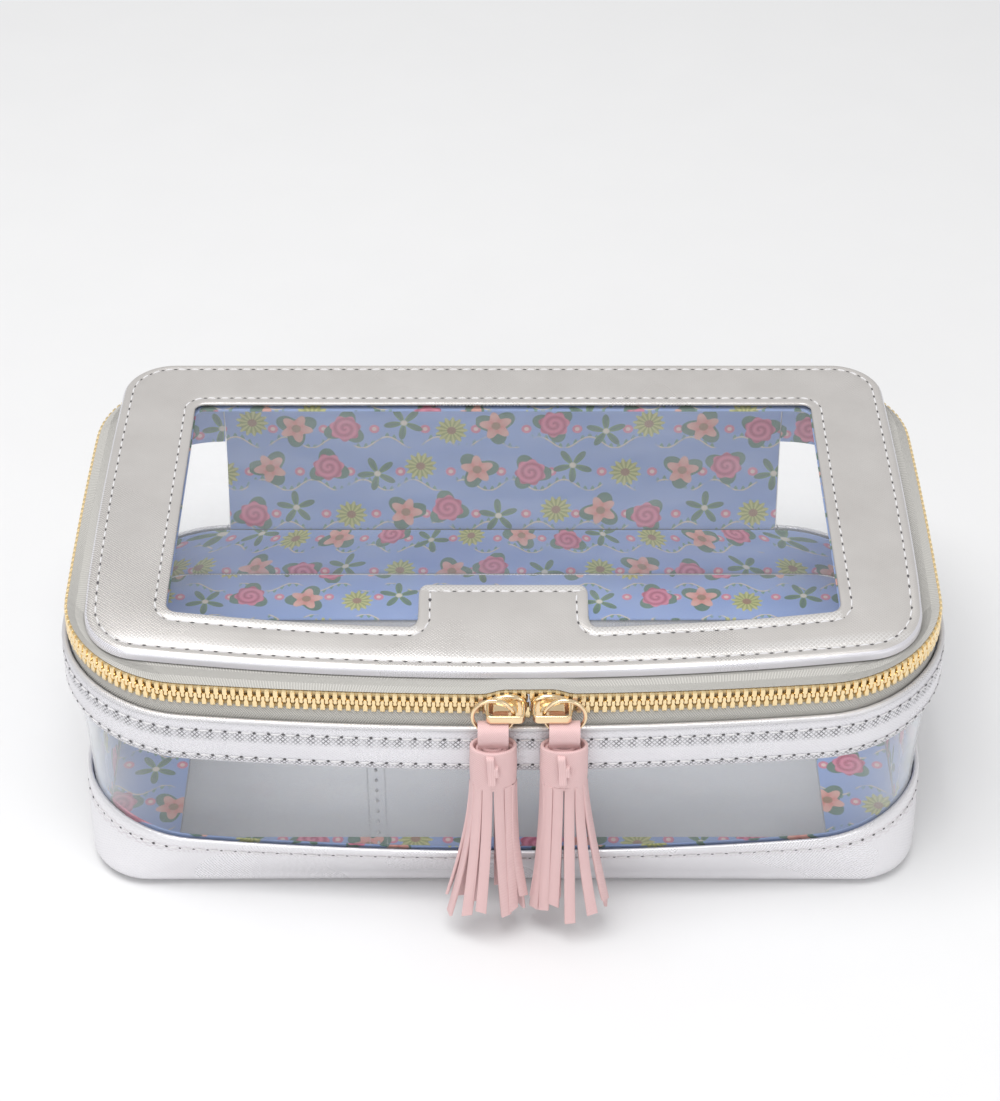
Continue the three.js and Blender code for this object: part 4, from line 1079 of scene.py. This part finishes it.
# Back skirt: the strip of leatherette between the back panel and the lid. It has no zip, and it is
# the bend about which the lid turns.
SKIRT_FOOT, SKIRT_NECK, SKIRT_END_IN = ZIP_HEIGHT + SEAM_GAP, LID_RIM - SEAM_GAP, 2
HINGE_BACK = 80.3


def skirt_line(z, inward):
    """The skirt runs straight up inside the rim, and leans out to the back panel below it."""
    tuck = at_height(moved(lid_line, -SHEET_IN - inward), max(z, SKIRT_NECK))
    foot = at_height(moved(band_line, -inward), SKIRT_FOOT)
    line = foot + (tuck - foot) * (np.clip((z - SKIRT_FOOT) / (SKIRT_NECK - SKIRT_FOOT), 0, 1) ** 0.9)
    line[:, 2] = z
    return pulled_in(back_part(line), SKIRT_END_IN)


skirt_levels = [*np.linspace(SKIRT_FOOT, SKIRT_NECK, 9), 91.0, LID_LINING_Z - SEAM_GAP]
skirt = [skirt_line(z, 0) for z in skirt_levels] + [skirt_line(z, TAPE) for z in reversed(skirt_levels)]
bend = [(0, (HINGE_BACK + CASE_BACK) * MM, z * MM) for z in (SKIRT_FOOT, SKIRT_NECK)]
sew(
    "lid_skirt_leatherette", loft(skirt, False), back_silver, ("case", "lid"), ["lid_back_skirt"],
    blend=bend,
)

# Zip sliders: cast and plated in pale gold. Each has a domed front plate with curled-in edges, a
# flat back plate, a wedge between them and a bail that the ring hangs in.
pale_gold = polished_brass("pale_gold_plate", (0.95, 0.76, 0.5), (0.86, 0.64, 0.38), 0.14)
SIDES = (("left", -1), ("right", 1))
CHAIN_DEPTH, SLIDER_GAP, PLATE_THICK = 1.4, 0.35, 0.9
PLATE_BACK, PLATE_FRONT = CHAIN_DEPTH + SLIDER_GAP, CHAIN_DEPTH + SLIDER_GAP + PLATE_THICK
# The plates are built up from their own outline, at these sizes and distances out from the chain.
FRONT_PLATE = (
    (0.8, PLATE_BACK), (0.9, PLATE_BACK - 0.02), (0.955, 1.45), (0.99, 1.5), (1.0, 1.9), (0.985, 2.3),
    (0.94, 2.6), (0.84, 2.82), (0.65, 2.95), (0.4, 3.02), (0.15, 3.05),
)
BACK_PLATE = (
    (0.92, -PLATE_FRONT), (0.98, -PLATE_FRONT + 0.1), (1.0, -PLATE_FRONT + 0.3), (1.0, -PLATE_BACK - 0.3),
    (0.95, -PLATE_BACK),
)
WEDGE = ((1, -PLATE_FRONT + 0.2), (1, PLATE_FRONT - 0.3))
PLATE_SIZES, BACK_SIZES, WEDGE_SIZES, WEDGE_ASIDE = (6.4, 4.55), (6.65, 3.3), (3.0, 0.8), 2.9
PLATE_LEAN, RING_STEPS, WIRE_STEPS = 0.16, 64, 14
RING_RADIUS, RING_WIRE, RING_OUT, RING_LIFT, RING_ASIDE = 6.0, 0.6, 7.9, 1.4, 3.6
BAIL_REACH, BAIL_ROUNDING, BAIL_WIDE, BAIL_DEEP, BAIL_SHORT = 5.2, 1.2, 2.7, 1.0, 0.7
SADDLE_WIDE, SADDLE_DEEP, SADDLE_OUT = 2.3, 7.4, (-2.4, -4.2, -5.6, -6.8)


def stack(rings):
    """Closed rings of points one after the other, with both ends closed: points and faces."""
    rings = np.stack(rings)
    points, faces = rings.reshape(-1, 3), tube(*rings.shape[:2])
    return points, [f[::-1] for f in faces] if inside_out(points, faces[:-2]) else faces


def join(parts):
    """Several sets of points and faces as one."""
    points, faces, count = [], [], 0
    for some, theirs in parts:
        points.append(some)
        faces += [tuple(int(i) + count for i in f) for f in theirs]
        count += len(some)
    return np.vstack(points), faces


def leaf(half_length, half_height, lean):
    """The outline of a slider's plate: a rounded leaf, fuller towards the side where the pulls meet."""
    turn = np.linspace(0, FULL_TURN, 48, endpoint=False)
    high = half_height * blunt(np.sin(turn), 0.85) * (1 + PLATE_LEAN * lean * np.cos(turn))
    return np.column_stack((half_length * blunt(np.cos(turn), 1.1), high))


def plate(line, steps):
    return stack([np.insert(line * size, 1, -out, axis=1) for size, out in steps])


def sweep(path, wide, deep, upward=(0, 0, 1), sides=12):
    """A bar with a soft-edged section bent along a path."""
    across = unit(np.cross(unit(np.gradient(path, axis=0)), upward))
    turn = np.arange(sides) * FULL_TURN / sides + math.pi / sides
    flat, high = blunt(np.cos(turn), 0.5) * deep / 2, blunt(np.sin(turn), 0.5) * wide / 2
    return stack([p + np.outer(flat, a) + np.outer(high, upward) for p, a in zip(path, across)])


pulls = {}
for side, sense in SIDES:
    x = PULLS_MEET + sense * SLIDER_AWAY
    home = np.array((x, -(ZIP_HALF_DEPTH + ZIP_BOW * (1 - (x / ZIP_HALF_WIDTH) ** 2)), ZIP_HEIGHT))
    pulls[side] = home
    slider = join([
        plate(leaf(*PLATE_SIZES, -sense), FRONT_PLATE), plate(leaf(*BACK_SIZES, -sense), BACK_PLATE),
        plate(leaf(*WEDGE_SIZES, 0) + (-sense * WEDGE_ASIDE, 0), WEDGE),
    ])
    sew(f"zip_slider_{side}", slider, pale_gold, f"slider_{side}", [f"slider_{side}"], 35, home)
    under, near = RING_OUT + RING_WIRE + SEAM_GAP, PLATE_FRONT + SLIDER_GAP
    bend = np.radians(np.linspace(0, 90, 7))
    corner = np.column_stack((
        BAIL_REACH - BAIL_ROUNDING + BAIL_ROUNDING * np.cos(bend),
        -(under - BAIL_SHORT) - BAIL_ROUNDING * np.sin(bend),
    ))
    arch = np.vstack((
        [(BAIL_REACH, -near), (BAIL_REACH, -under / 2)], corner,
        corner[::-1] * (-1, 1), [(-BAIL_REACH, -under / 2), (-BAIL_REACH, -near)],
    ))
    saddle = sweep(np.array([(0, out, RING_LIFT) for out in SADDLE_OUT]), SADDLE_WIDE, SADDLE_DEEP)
    bail = join([sweep(at_height(arch, RING_LIFT), BAIL_WIDE, BAIL_DEEP), saddle])
    sew(f"zip_slider_bail_{side}", bail, pale_gold, f"slider_{side}", [f"slider_bail_{side}"], at=home)

# Pull rings: each is round gold wire bent to a ring, which hangs in the bail of its slider.
# It is made from the wire's own section, carried once round.
for side, sense in SIDES:
    middle = pulls[side] + (sense * RING_ASIDE, -RING_OUT, RING_LIFT)
    turn = np.linspace(0, FULL_TURN, RING_STEPS, endpoint=False)
    loops = []
    for w in np.linspace(0, FULL_TURN, WIRE_STEPS, endpoint=False):
        radius, y = RING_RADIUS + RING_WIRE * math.cos(w), RING_WIRE * math.sin(w)
        loops.append(np.column_stack((radius * np.cos(turn), np.full(RING_STEPS, y), radius * np.sin(turn))))
    sew(f"gold_ring_{side}", loft(loops), pale_gold, f"ring_{side}", [f"pull_ring_{side}"], 180, middle)

# Tassels: pink grained leatherette. A strap goes through the ring and down into a cap, which is one
# strip rolled to an oval, cut to a fringe below and tied at the front with a stub of the same strip.
CAP_WIDE, CAP_DEEP, CAP_HIGH, CAP_SHEET = 6.9, 4.2, 15.0, 1.1
FRINGE, STRIPS, STRIP_WIDE, SPREAD, SPREAD_INWARDS = 53.0, 12, 3.3, 8.0, 0.35
STRIP_TWIST, STRIP_BOW, STRIP_SWING = 0.35, 0.7, 0.8
STRAP_THICK = 0.85
ROLL_TURNS, ROLL_STEPS = 2.1, 110
CAP_FORWARD, CAP_BELOW_RING = 1.0, 3.0
# The strap's outer face from the side, and the places across it where its edges are rounded.
STRAP_FACE = (
    (-0.15, -11.4), (-0.15, -7), (-0.1, -4.0), (0.9, -2.1), (1.85, -0.3), (1.9, 1.8), (1.3, 3.3),
    (-0.2, 4.0), (-1.9, 4.0), (-3.4, 3.3), (-4.0, 1.8), (-3.9, -0.3), (-2.9, -2.1), (-1.95, -4.0),
    (-1.85, -7), (-1.85, -11.4),
)
STRAP_ACROSS = (-4.5, -4.35, -3.9, -2, 0, 2, 3.9, 4.35, 4.5)
# The cap's wall as how far in and how high, down its outside and up its inside.
CAP_WALL = (
    (0.3, 0.0), (0.08, -0.15), (0.0, -0.5), (0.0, -4), (-0.1, -8), (0.0, -12), (0.1, -CAP_HIGH),
    (CAP_SHEET, -CAP_HIGH), (CAP_SHEET, -8), (CAP_SHEET, -0.5), (CAP_SHEET - 0.1, -0.15),
    (CAP_SHEET - 0.3, 0.0),
)
# The tie's two ends: sideways, out from the cap's front, and height; then each end's width.
TIE_ENDS = (
    (((-0.9, 1.2, -1.0), (-0.9, 0, -1.6), (-0.7, -0.1, -4.0), (-0.5, 0, -7.5), (-0.3, -0.25, -11.4)), 2.3),
    (((0.9, 1.2, -4.6), (0.8, 0, -5.2), (0.9, -0.1, -6.6), (1.2, -0.1, -8.4)), 1.4),
)
TIE_THICK, TIE_OUT = 0.6, 0.75


def pink_leatherette(name, rib):
    """Pink leatherette with a fine slanting grain, a little deeper in colour in its furrows."""
    finish = Finish(name, Specular_IOR_Level=0.35, Sheen_Weight=0.1)
    place, across, along = finish.cut()
    drift = finish.noise(place, 0.5, 3)
    ribs = ((across + along * 0.8) * (FULL_TURN / rib) + drift * 5).ripple()
    pores = finish.noise(place, 2.4, 3, 0.65)
    cloud = finish.noise(place, 0.09, 3)
    grain = ribs * 0.6 + pores * 0.4
    colour = finish.blend(grain, (0.66, 0.41, 0.41), (0.8, 0.57, 0.57))
    colour = finish.blend(cloud * 0.3, colour, (0.84, 0.62, 0.6))
    finish.give(Base_Color=colour, Roughness=pores * 0.2 + 0.5)
    return finish.bump(grain, 0.14)


def smooth(points, steps):
    """A curve through the points, with more points between them."""
    points = np.array(points, float)
    p = np.vstack((2 * points[0] - points[1], points, 2 * points[-1] - points[-2]))
    made = []
    for a, b, c, d in zip(p, p[1:], p[2:], p[3:]):
        for t in np.arange(steps) / steps:
            bent = (c - a) * t + (2 * a - 5 * b + 4 * c - d) * t ** 2 + (3 * b - a - 3 * c + d) * t ** 3
            made.append(0.5 * (2 * b + bent))
    return np.vstack((*made, points[-1]))


def strap_loop():
    """The strap: a strip bent through the ring, with both its ends running down into the cap."""
    section = folded(smooth(STRAP_FACE, 4), STRAP_THICK, 1)
    rows = len(STRAP_ACROSS)
    return loft([np.column_stack((STRAP_ACROSS, np.tile(p, (rows, 1)))) for p in section], False)


def rolled_cap(seed):
    """The cap's wall with soft edges; its roll is a little uneven."""
    turn = np.linspace(0, FULL_TURN, 64, endpoint=False)
    uneven = 1 + 0.018 * np.sin(2 * turn + seed) + 0.012 * np.sin(3 * turn + 2 * seed)
    loops = []
    for inset, z in CAP_WALL:
        x, y = (CAP_WIDE - inset) * np.cos(turn) * uneven, (CAP_DEEP - inset) * np.sin(turn) * uneven
        loops.append(np.column_stack((x, y, np.full(64, z) + 0.25 * np.sin(turn + seed) * (z > -1))))
    return loft(loops)


def rolled_inside(seed):
    """The rest of the roll inside the cap, seen from above as a spiral edge around the strap."""
    turn = np.linspace(0, ROLL_TURNS * FULL_TURN, ROLL_STEPS) + seed
    size = np.linspace(0.78, 0.3, ROLL_STEPS)
    line = np.column_stack((CAP_WIDE * size * np.cos(turn), CAP_DEEP * size * np.sin(turn)))
    along = unit(np.gradient(line, axis=0))
    aside = np.column_stack((-along[:, 1], along[:, 0])) * 0.5
    drop = -0.9 - 0.25 * np.sin(turn * 0.5)
    section = ((1, -4), (1, -0.15), (0.7, 0), (-0.7, 0), (-1, -0.15), (-1, -4))
    return loft([np.column_stack((line + aside * out, drop + z)) for out, z in section], False)


def fringe_strip(index, sense):
    """One cut strip: it follows the cap's wall at its head, and hangs outwards with its own turn."""
    angle = (index + 0.5) / STRIPS * FULL_TURN
    tangent = unit(np.array((-CAP_WIDE * math.sin(angle), CAP_DEEP * math.cos(angle))))
    out = np.array((tangent[1], -tangent[0]))
    head_x = (CAP_WIDE - CAP_SHEET / 2) * math.cos(angle)
    head_y = (CAP_DEEP - CAP_SHEET / 2) * math.sin(angle)
    length = FRINGE * (1 - 0.05 * (index % 3)) * rng.uniform(0.97, 1.0)
    turned, bowed, swing = (rng.normal(0, by) for by in (STRIP_TWIST, STRIP_BOW, STRIP_SWING))
    rings = []
    for fall in np.linspace(0, 1, 12):
        spread = SPREAD * (fall ** 1.7) * (SPREAD_INWARDS if out[0] * sense < 0 else 1.0)
        bow, twist = bowed * math.sin(math.pi * fall), turned * fall ** 1.5
        x = head_x + out[0] * (spread + bow * 0.5) + tangent[0] * swing * fall ** 2
        y = head_y + min(out[1], 0) * spread * 0.5 + min(0, bow * 0.4)
        wide = tangent * math.cos(twist) + out * math.sin(twist)
        thin = np.array((wide[1], -wide[0]))
        w, t = STRIP_WIDE / 2 * (0.9 + 0.1 * fall), CAP_SHEET / 2 * 0.85
        half = ((-w, -t * 0.7), (-w + 0.15, -t), (0, -t), (w - 0.15, -t), (w, -t * 0.7))
        slant = 0.35 * math.sin(index * 2.1) * (fall == 1)
        z = -CAP_HIGH + CAP_SHEET - fall * length
        corners = (*half, *((a, -b) for a, b in half[::-1]))
        rings.append([(*((x, y) + wide * a + thin * b), z + slant * a) for a, b in corners])
    return loft(np.swapaxes(rings, 0, 1), False)


def join_cut(parts):
    """Several pieces with their places on the flat material, as one."""
    cuts = [np.asarray(cut) + (17.0 * k, 5.3 * k) for k, (*_, cut) in enumerate(parts)]
    return *join([part[:2] for part in parts]), np.vstack(cuts)


pink_grain = pink_leatherette("pink_leatherette_grain", 0.62)
for side, sense in SIDES:
    body, seed = f"tassel_{side}", 1.0 + sense
    hang = pulls[side] + (sense * RING_ASIDE, -RING_OUT, RING_LIFT - RING_RADIUS)
    cap_at = hang - (0, CAP_FORWARD, CAP_BELOW_RING + RING_WIRE + SEAM_GAP)
    strips = [fringe_strip(index, sense) for index in range(STRIPS)]
    tassel = join_cut([rolled_cap(seed), rolled_inside(seed), *strips])
    tie = join([
        sweep(smooth(np.array(end) - (0, CAP_DEEP + TIE_OUT, 0), 5), TIE_THICK, wide, (0, 1, 0))
        for end, wide in TIE_ENDS
    ])
    for name, shape, solid, crease, at in (
        ("tassel_strap", strap_loop(), "tassel_loop", 50, hang),
        ("tassel_fringe", tassel, "tassel", 50, cap_at),
        ("tassel_tie_stub", tie, "tassel_tie", 60, cap_at),
    ):
        sew(f"{name}_{side}", shape, pink_grain, body, [f"{solid}_{side}"], crease, at)

# Studio: a pale sweep of paper under the bag, soft light from above and in front, and the camera
# looking down at the front as the photograph does.
SWEEP = 8.0
AIR_LIGHT = 0.62
PAPER, PAPER_LIT = (0.78, 0.78, 0.785), (0.8, 0.8, 0.805)
SOFTBOXES = (
    ("softbox_above", (-0.2, -0.28, 1.3), (0, 0, 0.05), (1.0, 0.6), 12),
    ("softbox_front_left", (-0.8, -1.4, 0.7), (0, 0, 0.04), (0.9, 0.7), 3.5),
    ("softbox_front_right", (1.1, -1.1, 0.6), (0, 0, 0.04), (0.6, 0.7), 2.5),
)
CAMERA_ASIDE, CAMERA_FRONT, CAMERA_HIGH, CAMERA_TILT = -0.001, 0.69704, 0.6173, 52
SENSOR, FOCAL_LENGTH = 36.0, 99.7


def stand(name, data):
    """Puts something into the studio."""
    made = bpy.data.objects.new(name, data)
    bpy.context.scene.collection.objects.link(made)
    return made


paper = Finish("studio_paper", Roughness=0.85, Specular_IOR_Level=0.1)
tooth = paper.noise(paper.node("ShaderNodeTexCoord", output=3), 30.0, 2)
paper.give(Base_Color=paper.blend(tooth, PAPER, PAPER_LIT))
floor_mesh = bpy.data.meshes.new("studio_floor")
floor_corners = [(-SWEEP, -SWEEP, 0), (SWEEP, -SWEEP, 0), (SWEEP, SWEEP, 0), (-SWEEP, SWEEP, 0)]
floor_mesh.from_pydata(floor_corners, [], [(0, 1, 2, 3)])
floor_mesh.materials.append(paper.material)
floor = stand("studio_floor", floor_mesh)
world = bpy.context.scene.world or bpy.data.worlds.new("studio_air")
bpy.context.scene.world = world
bpy.context.scene.view_settings.view_transform = "Standard"
world.use_nodes = True
world.node_tree.nodes["Background"].inputs["Color"].default_value = (1.0, 1.0, 1.0, 1)
world.node_tree.nodes["Background"].inputs["Strength"].default_value = AIR_LIGHT
for name, place, target, size, power in SOFTBOXES:
    light = bpy.data.lights.new(name, "AREA")
    light.shape, light.size, light.size_y, light.energy = "RECTANGLE", *size, power
    lamp = stand(name, light)
    lamp.location = place
    lamp.rotation_euler = (Vector(target) - Vector(place)).to_track_quat("-Z", "Y").to_euler()
lens = bpy.data.cameras.new("photograph_camera")
lens.sensor_fit, lens.sensor_width, lens.lens = "HORIZONTAL", SENSOR, FOCAL_LENGTH
lens.clip_start, lens.clip_end = 0.05, 50
camera = stand("photograph_camera", lens)
camera.location = (CAMERA_ASIDE, CASE_BACK * MM - CAMERA_FRONT, CAMERA_HIGH)
camera.rotation_euler = (math.radians(CAMERA_TILT), 0, 0)
bpy.context.scene.camera = camera
